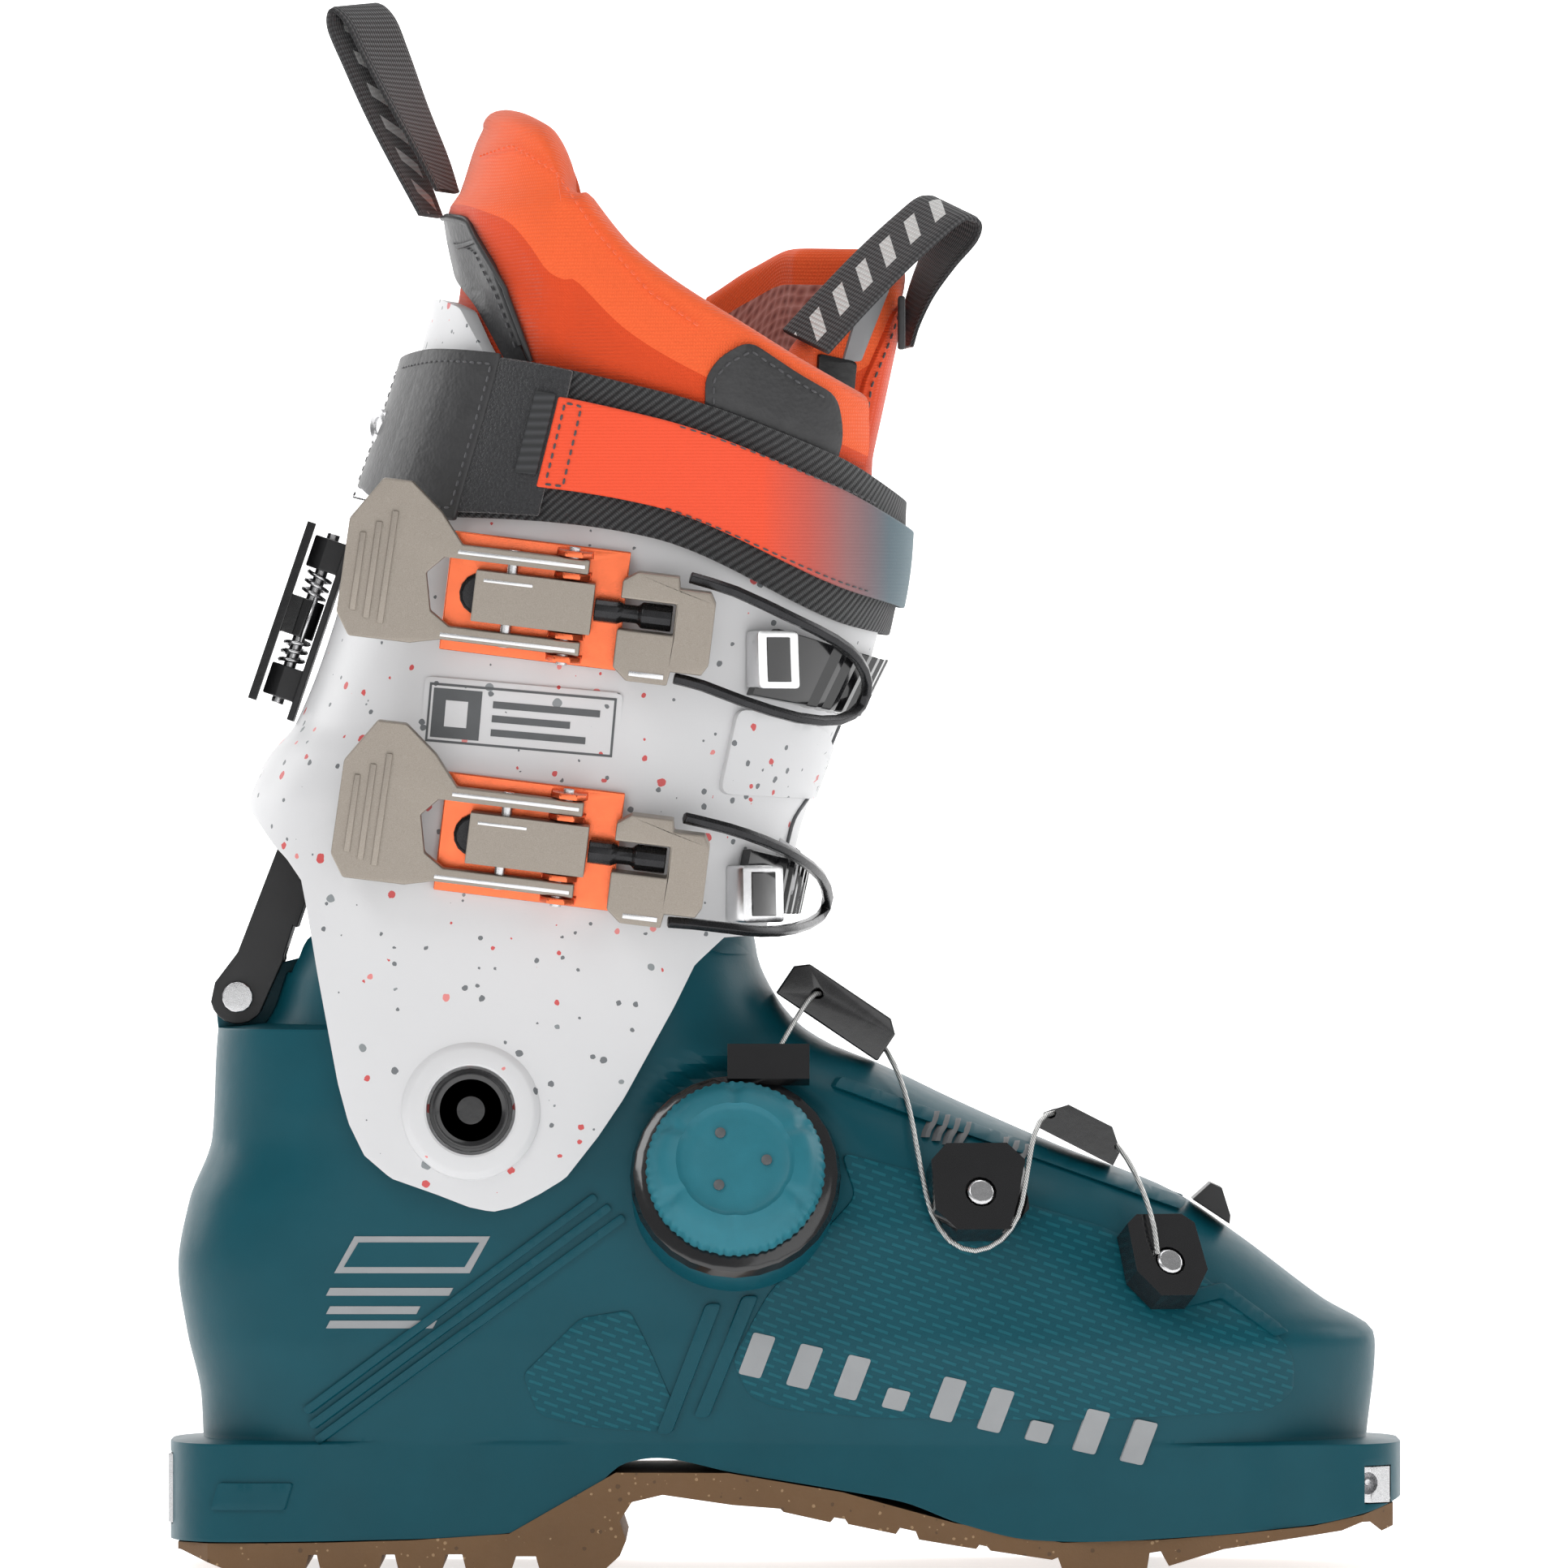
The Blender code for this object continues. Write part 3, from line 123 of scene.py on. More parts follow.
# ---------------------------------------------------------------- materials
class Paint:
    """A procedural material. A value given to a node is a number, a colour or another node's socket."""

    def __init__(self, name, rough=0.5, metal=0.0, flat=False, **shader):
        self.material = bpy.data.materials.new(name)
        self.material.use_nodes = True
        self.tree = self.material.node_tree
        self.shader = self.tree.nodes["Principled BSDF"]
        coordinates = self.tree.nodes.new("ShaderNodeTexCoord")
        self.at = coordinates.outputs["UV" if flat else "Object"]
        self.put(self.shader, "Roughness", rough)
        self.put(self.shader, "Metallic", metal)
        for key, value in shader.items():
            self.put(self.shader, key.replace("_", " "), value)

    def put(self, node, key, value):
        self.fill(node.inputs[key], value)

    def fill(self, socket, value):
        if isinstance(value, bpy.types.NodeSocket):
            self.tree.links.new(value, socket)
        elif isinstance(value, tuple) and len(value) == 3 and socket.type == "RGBA":
            socket.default_value = (*value, 1)
        else:
            socket.default_value = value

    def node(self, kind, inputs, **settings):
        made = self.tree.nodes.new("ShaderNode" + kind)
        for key, value in settings.items():
            setattr(made, key, value)
        for key, value in inputs.items():
            self.put(made, key, value)
        return made

    def sum(self, operation, a, b=0.0, c=0.0):
        return self.node("Math", {0: a, 1: b, 2: c}, operation=operation).outputs[0]

    def noise(self, size, detail=2.0, stretch=None):
        at = self.stretched(stretch) if stretch else self.at
        return self.node("TexNoise", {"Vector": at, "Scale": 1 / (size * MM), "Detail": detail}).outputs[0]

    def stretched(self, scale, turn=(0, 0, 0)):
        return self.node("Mapping", {"Vector": self.at, "Scale": scale, "Rotation": turn}).outputs[0]

    def cells(self, size, at=None, randomness=1.0):
        return self.node("TexVoronoi", {"Vector": at or self.at, "Scale": 1 / (size * MM),
                                        "Randomness": randomness})

    def part(self, vector, axis):
        return self.node("SeparateXYZ", {0: vector}).outputs[axis]

    def stripes(self, pitch, axis, turn=0.0):
        """A sine of that pitch along an axis of the coordinates, from 0 to 1."""
        at = self.part(self.stretched((1, 1, 1), (0, 0, turn)) if turn else self.at, axis)
        wave = self.sum("SINE", self.sum("MULTIPLY", at, 2 * pi / (pitch * MM)))
        return self.sum("MULTIPLY_ADD", wave, 0.5, 0.5)

    def mix(self, share, a, b):
        made = self.node("Mix", {"Factor": share}, data_type="RGBA")
        colours = [s for s in made.inputs if s.type == "RGBA"]
        for socket, value in zip(colours, (a, b)):
            self.fill(socket, value)
        return [s for s in made.outputs if s.type == "RGBA"][0]

    def ramp(self, share, stops):
        made = self.node("ValToRGB", {"Fac": share})
        band = made.color_ramp
        while len(band.elements) < len(stops):
            band.elements.new(0.5)
        for element, (place, colour) in zip(band.elements, stops):
            element.position = place
            element.color = (*colour, 1)
        return made.outputs[0]

    def colour(self, value):
        self.put(self.shader, "Base Color", value)
        return self

    def rough(self, low, high, size=3.0):
        share = self.noise(size, 4)
        self.put(self.shader, "Roughness", self.sum("MULTIPLY_ADD", share, high - low, low))
        return self

    def bump(self, *layers):
        """Layers are (height from 0 to 1, depth in millimetres)."""
        normal = None
        for height, depth in layers:
            made = self.node("Bump", {"Height": height, "Distance": depth * MM, "Strength": 1.0})
            if normal:
                self.tree.links.new(normal, made.inputs["Normal"])
            normal = made.outputs[0]
        self.tree.links.new(normal, self.shader.inputs["Normal"])
        return self


def toned(paint, base, spread=0.12, size=14.0):
    """The base colour, a little lighter and darker in broad soft patches."""
    low = tuple(c * (1 - spread) for c in base)
    high = tuple(min(c * (1 + spread), 1) for c in base)
    return paint.mix(paint.noise(size, 3), low, high)


def speckled(paint, base, specks):
    """Specks are (cell size in mm, share of cells, radius in cells, colour)."""
    colour = base
    for k, (size, share, radius, tint) in enumerate(specks):
        shift = (0.013 * k + 0.007, 0.021 * k, 0.017)
        shifted = paint.node("Mapping", {"Vector": paint.at, "Location": shift})
        cell = paint.cells(size, shifted.outputs[0])
        chance = paint.part(cell.outputs["Color"], 0)
        size_of = paint.sum("MULTIPLY", paint.part(cell.outputs["Color"], 1), radius)
        wobble = paint.sum("MULTIPLY_ADD", paint.noise(size * 0.35, 2), 0.22, -0.11)
        inside = paint.sum("LESS_THAN", paint.sum("ADD", cell.outputs["Distance"], wobble), size_of)
        chosen = paint.sum("LESS_THAN", chance, share)
        colour = paint.mix(paint.sum("MULTIPLY", inside, chosen), colour, tint)
    return colour


TEAL = (0.0018, 0.066, 0.09)
TEAL_LIGHT = (0.006, 0.1, 0.13)
# Each plain finish: its key and name, colour, spread and patch size in mm, roughness (low, high and
# patch size, or nothing), bumps (size, detail, depth and perhaps a stretch) and shader settings.
PLAIN = [
    ("teal", "teal_shell", TEAL, 0.1, 14, (0.34, 0.44), [(0.5, 3, 0.02), (9, 2, 0.12)],
     {"Specular_IOR_Level": 0.22}),
    ("nylon", "black_nylon", (0.012, 0.012, 0.013), 0.3, 6, (0.3, 0.5), [(0.35, 4, 0.03)], {}),
    ("gloss", "black_gloss", (0.008, 0.008, 0.009), 0.3, 8, (0.12, 0.2), [(3, 2, 0.03)],
     {"Coat_Weight": 0.6, "Coat_Roughness": 0.08}),
    ("anodised", "black_anodised", (0.03, 0.03, 0.032), 0.3, 3, (0.2, 0.34, 1), [(0.25, 3, 0.012)],
     {"metal": 0.75}),
    # Bright milled metal: the clips' own silver, and on the levers and yokes strips of painted highlight
    # along their edges.
    ("milled", "milled_edge_and_highlight", (0.72, 0.72, 0.73), 0.08, 2, (0.16, 0.3, 0.8),
     [(0.6, 2, 0.01, (1, 1, 9))], {"metal": 0.95}),
    ("orange_metal", "orange_anodised", (0.88, 0.17, 0.06), 0.14, 4, (0.2, 0.3, 0.8),
     [(0.3, 3, 0.012)], {"metal": 0.9, "Coat_Weight": 0.35, "Coat_Roughness": 0.1}),
    ("steel", "steel", (0.62, 0.62, 0.63), 0.1, 1.5, (0.18, 0.34, 0.7), [(0.5, 3, 0.015, (1, 1, 6))],
     {"metal": 1.0}),
    ("thread", "thread", (0.07, 0.07, 0.075), 0.3, 1, (), [(0.3, 3, 0.05)],
     {"rough": 0.7, "Sheen_Weight": 0.2}),
    ("grey_print", "grey_print", (0.3, 0.31, 0.32), 0.08, 6, (0.4, 0.5), [(0.4, 3, 0.02)], {}),
    ("dark_print", "dark_print", (0.09, 0.095, 0.1), 0.15, 4, (0.4, 0.5), [(0.4, 3, 0.02)], {}),
    ("dial", "dial_teal", (0.02, 0.17, 0.22), 0.12, 6, (0.38, 0.5), [(0.3, 3, 0.03)],
     {"Specular_IOR_Level": 0.3}),
    ("stretch", "stretch_gloss", (0.006, 0.006, 0.007), 0.4, 3, (), [(1.2, 3, 0.05)],
     {"rough": 0.25, "Coat_Weight": 0.3, "Coat_Roughness": 0.15}),
]


def make_materials():
    """Every finish by its key. Those with flat=True use a piece's flat coordinates."""
    made = {}
    for key, name, base, spread, size, rough, bumps, shader in PLAIN:
        p = Paint(name, **shader)
        p.colour(toned(p, base, spread, size))
        if rough:
            p.rough(*rough)
        layers = [(p.noise(grain, detail, *stretch), depth) for grain, detail, depth, *stretch in bumps]
        p.bump(*layers)
        made[key] = p.material

    p = Paint("teal_scales", Specular_IOR_Level=0.2)
    slanted = p.stretched((1, 1, 1), (0, radians(-19), 0))
    x, z = p.part(slanted, 0), p.part(slanted, 2)
    row = p.sum("FLOOR", p.sum("MULTIPLY", z, 1 / (1.9 * MM)))
    shift = p.sum("MULTIPLY", p.sum("MODULO", p.sum("ABSOLUTE", row), 2.0), 2.6 * MM)
    along = p.sum("FRACT", p.sum("MULTIPLY", p.sum("ADD", x, p.sum("ADD", shift, 1.0)), 1 / (5.2 * MM)))
    up = p.sum("FRACT", p.sum("MULTIPLY", p.sum("ADD", z, 1.9), 1 / (1.9 * MM)))
    dash = p.sum("MULTIPLY", p.sum("LESS_THAN", p.sum("ABSOLUTE", p.sum("SUBTRACT", up, 0.5)), 0.2),
                 p.sum("LESS_THAN", along, 0.68))
    p.colour(p.mix(dash, toned(p, TEAL, 0.1), TEAL_LIGHT)).rough(0.34, 0.46)
    p.bump((dash, 0.22), (p.noise(0.5, 3), 0.02))
    made["scales"] = p.material

    p = Paint("speckled_white", Specular_IOR_Level=0.35)
    specks = [(3.4, 0.4, 0.26, (0.16, 0.17, 0.18)), (5.2, 0.4, 0.26, (0.6, 0.09, 0.09)),
              (7.8, 0.25, 0.17, (0.25, 0.27, 0.28)), (4.6, 0.12, 0.2, (0.75, 0.25, 0.24))]
    p.colour(speckled(p, (0.66, 0.66, 0.67), specks)).rough(0.3, 0.42)
    p.bump((p.noise(0.6, 3), 0.02), (p.noise(12, 2), 0.12))
    made["white"] = p.material

    p = Paint("gum_rubber")
    specks = [(1.5, 0.4, 0.3, (0.33, 0.21, 0.11)), (2.1, 0.3, 0.3, (0.1, 0.055, 0.025))]
    p.colour(speckled(p, toned(p, (0.155, 0.082, 0.034), 0.2, 20), specks))
    p.rough(0.62, 0.8).bump((p.noise(0.8, 4), 0.08), (p.noise(5, 2), 0.1))
    made["gum"] = p.material

    p = Paint("blasted_metal", metal=0.85)
    grain = p.noise(0.22, 5)
    p.colour(p.mix(grain, (0.24, 0.21, 0.18), (0.43, 0.385, 0.335))).rough(0.38, 0.56, 0.3)
    p.bump((grain, 0.05), (p.noise(6, 2), 0.05))
    made["blasted"] = p.material

    p = Paint("lace_strands", metal=0.7)
    twist = p.stripes(1.1, 2, 0)
    lean = p.sum("MULTIPLY_ADD", p.part(p.at, 0), 1.7, p.part(p.at, 2))
    wave = p.sum("SINE", p.sum("MULTIPLY", lean, 2 * pi / (0.9 * MM)))
    slant = p.sum("MULTIPLY_ADD", wave, 0.5, 0.5)
    p.colour(p.mix(slant, (0.3, 0.3, 0.3), (0.82, 0.82, 0.8))).rough(0.28, 0.4, 0.5)
    p.bump((slant, 0.12), (twist, 0.03))
    made["lace"] = p.material

    for key, tint, deep in (("knit", (0.80, 0.075, 0.008), (0.66, 0.05, 0.004)),
                            ("rim_knit", (0.98, 0.155, 0.035), (0.85, 0.1, 0.02))):
        p = Paint("orange_" + key, rough=0.85, flat=True, Sheen_Weight=0.35, Sheen_Roughness=0.4)
        wale, course = p.stripes(0.9, 0), p.stripes(0.75, 1)
        stitch = p.sum("MULTIPLY", wale, course)
        fibre = p.noise(0.5, 5)
        p.colour(p.mix(p.sum("MULTIPLY_ADD", fibre, 0.6, p.sum("MULTIPLY", stitch, 0.5)), deep, tint))
        p.bump((stitch, 0.12), (fibre, 0.06), (p.noise(16, 2), 0.5))
        made[key] = p.material

    p = Paint("mesh_lining", rough=0.9, flat=True, Sheen_Weight=0.3)
    hole = p.cells(2.6, randomness=0.25).outputs["Distance"]
    p.colour(p.ramp(hole, [(0.0, (0.18, 0.05, 0.04)), (0.35, (0.42, 0.17, 0.14)), (0.7, (0.62, 0.32, 0.28))]))
    p.bump((hole, 0.4), (p.noise(0.6, 3), 0.05))
    made["lining"] = p.material

    p = Paint("black_grain", Coat_Weight=0.1)
    pebble = p.cells(1.1).outputs["Distance"]
    crease = p.noise(2.4, 3, (0.35, 1, 1))
    p.colour(p.mix(p.noise(5, 3), (0.018, 0.018, 0.019), (0.04, 0.04, 0.042))).rough(0.45, 0.62, 2)
    p.bump((pebble, 0.08), (crease, 0.18))
    made["grain"] = p.material

    p = Paint("grey_lined", rough=0.7)
    line = p.stripes(2.1, 2, 0)
    p.colour(p.mix(line, (0.02, 0.021, 0.022), (0.045, 0.046, 0.05)))
    p.bump((line, 0.3), (p.noise(0.6, 3), 0.05))
    made["lined"] = p.material

    p = Paint("black_twill", rough=0.8, flat=True, Sheen_Weight=0.2)
    ridge = p.stripes(1.7, 0, radians(38))
    yarn = p.stripes(0.55, 0, radians(-52))
    p.colour(p.mix(p.sum("MULTIPLY", ridge, p.sum("MULTIPLY_ADD", yarn, 0.5, 0.5)), (0.006, 0.006, 0.007),
                   (0.075, 0.077, 0.08)))
    p.bump((ridge, 0.4), (yarn, 0.12), (p.noise(0.3, 3), 0.04))
    made["twill"] = p.material

    p = Paint("hook_pile", rough=0.95, Sheen_Weight=0.5, Sheen_Roughness=0.5)
    fuzz = p.noise(0.7, 6)
    p.colour(p.mix(fuzz, (0.004, 0.004, 0.005), (0.045, 0.046, 0.05)))
    p.bump((fuzz, 0.6), (p.noise(0.25, 3), 0.15))
    made["pile"] = p.material

    p = Paint("fading_band", rough=0.55, Sheen_Weight=0.1)
    share = p.sum("MULTIPLY_ADD", p.part(p.at, 0), 1 / 0.094, 0.062 / 0.094)
    tone = p.ramp(share, [(0.0, (0.96, 0.075, 0.012)), (0.6, (0.95, 0.075, 0.015)),
                          (0.72, (0.62, 0.09, 0.06)), (0.82, (0.32, 0.13, 0.13)),
                          (0.93, (0.05, 0.1, 0.13)), (1.0, (0.012, 0.09, 0.12))])
    weave = p.noise(0.3, 3)
    p.colour(p.mix(p.sum("MULTIPLY", weave, 0.18), tone, (0.02, 0.02, 0.02)))
    p.bump((weave, 0.05), (p.stripes(0.8, 2), 0.04))
    made["band"] = p.material

    p = Paint("loop_webbing", rough=0.85, flat=True, Sheen_Weight=0.2)
    rib = p.stripes(1.3, 1)
    yarn = p.stripes(0.9, 0)
    u, v = p.part(p.at, 0), p.part(p.at, 1)
    lean = p.sum("MULTIPLY_ADD", u, 0.55, v)
    bar = p.sum("LESS_THAN", p.sum("FRACT", p.sum("MULTIPLY", lean, 1 / (9.0 * MM))), 0.42)
    middle = p.sum("LESS_THAN", p.sum("ABSOLUTE", p.sum("SUBTRACT", u, 10 * MM)), 4.6 * MM)
    yarns = p.sum("MULTIPLY_ADD", p.sum("MULTIPLY", rib, yarn), 0.6, 0.4)
    dark = p.mix(yarns, (0.008, 0.008, 0.009), (0.055, 0.055, 0.058))
    pale = p.mix(yarns, (0.45, 0.45, 0.44), (0.85, 0.85, 0.84))
    p.colour(p.mix(p.sum("MULTIPLY", bar, middle), dark, pale))
    p.bump((rib, 0.32), (yarn, 0.12))
    made["webbing"] = p.material

    p = Paint("grey_foam", rough=0.9, Sheen_Weight=0.2)
    p.colour(toned(p, (0.1, 0.1, 0.105), 0.2, 3)).bump((p.cells(1.2).outputs["Distance"], 0.25))
    made["foam"] = p.material
    return made


# ---------------------------------------------------------------- shapes shared with the frame
PIVOT = Vector((-76.5, 0, 113))  # where the cuff turns on the shell
LUG_END = 151.5
HEEL_ROUNDING = (22, 2.6)  # the lugs' rounded ends: depth and power
TOE_ROUNDING = (30, 3.5)
ROUNDNESS = 2.3  # the power of the shell's and the leg's rounded ends
LEDGE = 31.3  # the top of the toe and heel lugs
RIM_RADIUS = 58
RIM_FRONT = 155
SHELL_WALL = 4.5
CUFF_WALL = 4.6
RECESS_RADIUS = 13.5  # where the cuff's wall is sunk for its bolts
RECESS_DEPTH = 46
REAR_ROOM = 18.6  # more room at the rear, for the walk link
LINER_ROOM = 5.8  # from the cuff's outer face to the liner's
LINER_THICKNESS = 8.5
TONGUE_ROOM = 15.8
SIDES = ((-1, "outer"), (1, "inner"))
BUCKLES = {"upper": Vector((-52.5, 0, 236)), "lower": Vector((-54, 0, 177.6))}
BUCKLE_TILT = radians(7)
CLIPS = {"upper": (0, 0), "lower": (-5, -57)}  # each clip's shift from the upper one
DIAL = Vector((-12.1, -46.5, 96))
DIAL_TILT = radians(18)
DIAL_AXIS = Vector((0, -cos(DIAL_TILT), sin(DIAL_TILT)))
# Pairs for table(): height at an x for bottoms and tops, x or half width at a height for the rest.
SHELL_BOTTOM = [(-151.5, 7), (-110, 7.4), (-78.5, 8.2), (-64, 9.8), (-54.7, 13.8), (-46.7, 20.2),
                (-38.9, 26.4), (-31.5, 27.6), (-13, 24.2), (11.5, 20.4), (28.5, 17.4), (43.3, 12),
                (60.5, 8.2), (72.7, 7.8), (97, 8.8), (127.7, 11.4), (142.5, 14.4), (151.5, 17.8)]
SHELL_REAR = [(31.6, -143.5), (41.6, -144), (57.6, -147.5), (73.6, -149.7), (89.6, -147),
              (105.6, -141.3), (132.6, -139.8), (133.4, -128.4), (147.4, -122.4), (158, -116.5)]
SHELL_FRONT = [(31.6, 143.3), (54.6, 145.5), (57.6, 145), (65.6, 132.7), (81.6, 111.3), (92.2, 95.3),
               (103.6, 66.7), (114.8, 41.3), (124, 21.9), (128, 11.7), (133.2, 3.5), (139.2, -1.7),
               (149.4, -6.7), (158, -8.3)]
SHELL_REAR_ZONE = [(31.6, 34), (80, 40), (158, 40)]
SHELL_FRONT_ZONE = [(31.6, 56), (57, 62), (92, 70), (120, 52), (158, 36)]
SHELL_WIDTHS = [
    (31.6, [(-143, 30), (-110, 32.5), (-60, 31), (-20, 33), (40, 44), (75, 45.5), (110, 41), (145, 33)]),
    (55, [(-149, 35), (-110, 37), (-60, 37), (-20, 39), (30, 48), (65, 50), (105, 46), (145, 38)]),
    (85, [(-149, 36), (-110, 38.5), (-60, 39.5), (-20, 42), (30, 48), (60, 46), (112, 40)]),
    (113, [(-141, 37), (-110, 39.5), (-76, 41), (-30, 42.5), (10, 44), (45, 40)]),
    (158, [(-117, 38), (-76, 41.5), (-30, 42), (-8, 40)]),
]
LUG_WIDTHS = [(-151.5, 34.5), (-118, 34.5), (-100, 32.5), (-60, 31), (-20, 33), (40, 44), (75, 45.5),
              (110, 41.5), (122, 38), (151.5, 34.5)]
LEG_REAR = [(80, -130), (150, -134), (188, -132.5), (199, -127.5), (207.6, -120.5), (257.6, -103.5),
            (311, -87), (332, -84.5), (337, -80.5), (353, -75.5), (361, -70)]
LEG_FRONT = [(80, -8), (150, -3), (165.6, 0.5), (181, 3.6), (193.6, 8), (205.6, 12.5), (225.6, 22.5),
             (250, 27), (300, 29), (361, 30)]
LEG_WIDTH = [(80, 47), (113, 48.5), (150, 50), (190, 53.5), (236, 57), (290, 60), (361, 58)]
LEG_REAR_ZONE = [(80, 34), (150, 38), (190, 48), (200, 50), (311, 46), (361, 40)]
LEG_FRONT_ZONE = [(80, 26), (150, 30), (181, 46), (236, 58), (361, 58)]
CUFF_TOP = [(-90, 312), (-79, 309), (-73.5, 298), (-62, 281), (-30, 265), (20, 249)]
CUFF_OUTLINE = [(-140, 196), (-134, 190.6), (-131, 185.6), (-124.9, 177.4), (-121.7, 174.2), (-118, 169),
                (-116.5, 161.4), (-113.9, 146), (-108.9, 119.4), (-106.3, 109.8), (-102.5, 102),
                (-96, 96.4), (-84.7, 92.4), (-77, 89.4), (-71.3, 88.2), (-66, 89.4), (-59.7, 92.6),
                (-53.5, 96.4), (-45.5, 106.6), (-39.3, 115.8), (-27, 138.2), (-22, 148.4),
                (-14.9, 155), (-4.5, 155.6), (10, 158), (60, 180), (60, 244), (20, 248), (-30, 264),
                (-62, 280), (-73.5, 297.6), (-79.5, 308.6), (-84.5, 311.2), (-90, 312), (-140, 312)]
STRAP_MIDDLE = [(-105, 279), (-70, 276.5), (-32, 270), (12, 252.5), (33, 244)]
STRAP_HALF = [(-105, 13.5), (-96, 19), (-85, 21), (-32, 18.8), (12, 21), (33, 17)]
LINER_TOP = [(-90, 333), (-84, 340), (-70, 358), (-57.5, 353), (-48.3, 337.6), (-35.3, 321.6),
             (-9.5, 303.6), (6.5, 293.6), (40, 276)]
TONGUE_TOP = [(0.78, 296), (0.88, 307), (0.95, 317), (1, 321), (1.08, 325), (1.2, 325.5), (1.32, 321),
              (1.42, 314)]
REAR_LOOP = [((-87.4, -3, 332.5), (0.25, 0.96, 0)), ((-92.2, -1.5, 343), (0.35, 0.93, 0)),
             ((-98, 1.5, 356), (0.45, 0.88, 0)), ((-103.2, 4.5, 370), (0.55, 0.82, 0.05)),
             ((-107, 7, 380), (0.57, 0.81, 0.1)), ((-106.3, 8, 384.4), (0.57, 0.81, 0.1)),
             ((-102.6, 7.5, 381), (0.57, 0.81, 0.1)), ((-99, 6, 373), (0.55, 0.82, 0.05)),
             ((-93.2, 3, 360), (0.45, 0.88, 0)), ((-87.2, 0.5, 347.5), (0.35, 0.93, 0)),
             ((-83.4, -1.5, 338.6), (0.25, 0.96, 0))]
FRONT_LOOP = [((5, -33, 300.5), (0.55, -0.78, -0.3)), ((14, -28, 310.5), (0.55, -0.78, -0.3)),
              ((24, -22, 321), (0.55, -0.78, -0.3)), ((32.5, -17, 329), (0.55, -0.78, -0.3)),
              ((38.5, -13, 333.8), (0.55, -0.78, -0.3)), ((42.3, -9.5, 333.2), (0.55, -0.78, -0.3)),
              ((42, -8, 328.5), (0.5, -0.82, -0.25)), ((37.5, -6.5, 321), (0.4, -0.9, -0.15)),
              ((33.4, -5, 313), (0.3, -0.95, -0.05)), ((30.8, -4, 305.5), (0.2, -0.98, 0)),
              ((29.8, -3.5, 300), (0.12, -0.99, 0))]
# Routes: (point, direction of the webbing's width). The toe plate's outline is in plan, one side.
TOE_PLATE = [(138, 32.4), (143.2, 31.4), (148, 27)]
SHELL_STATIONS = 230  # points along each side of a level of the shell
CUFF_STATIONS = 170
CURVES = {}  # slopes that table() has worked out


def table(pairs, value):
    """A smooth curve through (key, result) pairs with no overshoot, flat past both ends."""
    if value <= pairs[0][0]:
        return pairs[0][1]
    if value >= pairs[-1][0]:
        return pairs[-1][1]
    if id(pairs) not in CURVES:
        slopes = [(b[1] - a[1]) / (b[0] - a[0]) for a, b in zip(pairs, pairs[1:])]
        inner = [2 * a * b / (a + b) if a * b > 0 else 0.0 for a, b in zip(slopes, slopes[1:])]
        CURVES[id(pairs)] = (pairs, [slopes[0]] + inner + [slopes[-1]])
    tangents = CURVES[id(pairs)][1]
    for k in range(len(pairs) - 1):
        if value <= pairs[k + 1][0]:
            (k0, v0), (k1, v1) = pairs[k], pairs[k + 1]
            span = k1 - k0
            t = (value - k0) / span
            return ((1 + 2 * t) * (1 - t) ** 2 * v0 + t * (1 - t) ** 2 * span * tangents[k]
                    + t * t * (3 - 2 * t) * v1 - t * t * (1 - t) * span * tangents[k + 1])


def clamp(value):
    return min(max(value, 0.0), 1.0)


def soft(value):
    """A smooth step from 0 to 1."""
    value = clamp(value)
    return value * value * (3 - 2 * value)


def rounding(distance, zone, power):
    """How full a level is at a distance from its end, for a rounded end as deep as the zone."""
    return (1 - clamp(1 - distance / zone) ** power) ** (1 / power)


def shell_range(z, grow=0.0):
    """The shell's rear and front at a height, with the lugs below LEDGE."""
    if z < LEDGE:
        return -LUG_END - grow, LUG_END + grow
    slope = 1.0 if z < 60 else 1.7
    return table(SHELL_REAR, z) - grow, table(SHELL_FRONT, z) + grow * slope


def shell_half(x, z, grow=0.0):
    """Half the shell's width there."""
    rear, front = shell_range(z, grow)
    if z < LEDGE:
        ends = rounding(x - rear, *HEEL_ROUNDING) * rounding(front - x, *TOE_ROUNDING)
        return (table(LUG_WIDTHS, x) + grow) * ends
    full = table(SHELL_WIDTHS[-1][1], x)
    for (z0, low), (z1, high) in zip(SHELL_WIDTHS, SHELL_WIDTHS[1:]):
        if z <= z1:
            mix = clamp((z - z0) / (z1 - z0))
            full = table(low, x) * (1 - mix) + table(high, x) * mix
            break
    ends = rounding(x - rear, table(SHELL_REAR_ZONE, z), ROUNDNESS)
    return (full + grow) * ends * rounding(front - x, table(SHELL_FRONT_ZONE, z), ROUNDNESS)


def shell_rim(x):
    """The rim's height: an arc about the pivot, then level at the front."""
    reach = min(abs(x - PIVOT.x), 40)
    arc = PIVOT.z + sqrt(RIM_RADIUS**2 - reach**2)
    mix = soft((x + 50) / 40)
    return arc * (1 - mix) + RIM_FRONT * mix


def ring_point(ends, half_at, turn, z, grow):
    """A point of a level. Turn 0 is the rear, 1 the front by the outer side, 2 the rear again."""
    rear, front = ends(z, grow)
    x = rear + (front - rear) * (1 - cos(pi * turn)) / 2
    half = half_at(x, z, grow)
    return Vector((x, half if turn > 1 else -half, z))


def turn_at(ends, x, z):
    rear, front = ends(z)
    return acos(1 - 2 * clamp((x - rear) / (front - rear))) / pi


def shell_point(turn, z, grow=0.0):
    return ring_point(shell_range, shell_half, turn, z, grow)


def shell_turn(x, z):
    return turn_at(shell_range, x, z)


def leg_range(z, grow=0.0):
    return table(LEG_REAR, z) - grow, table(LEG_FRONT, z) + grow


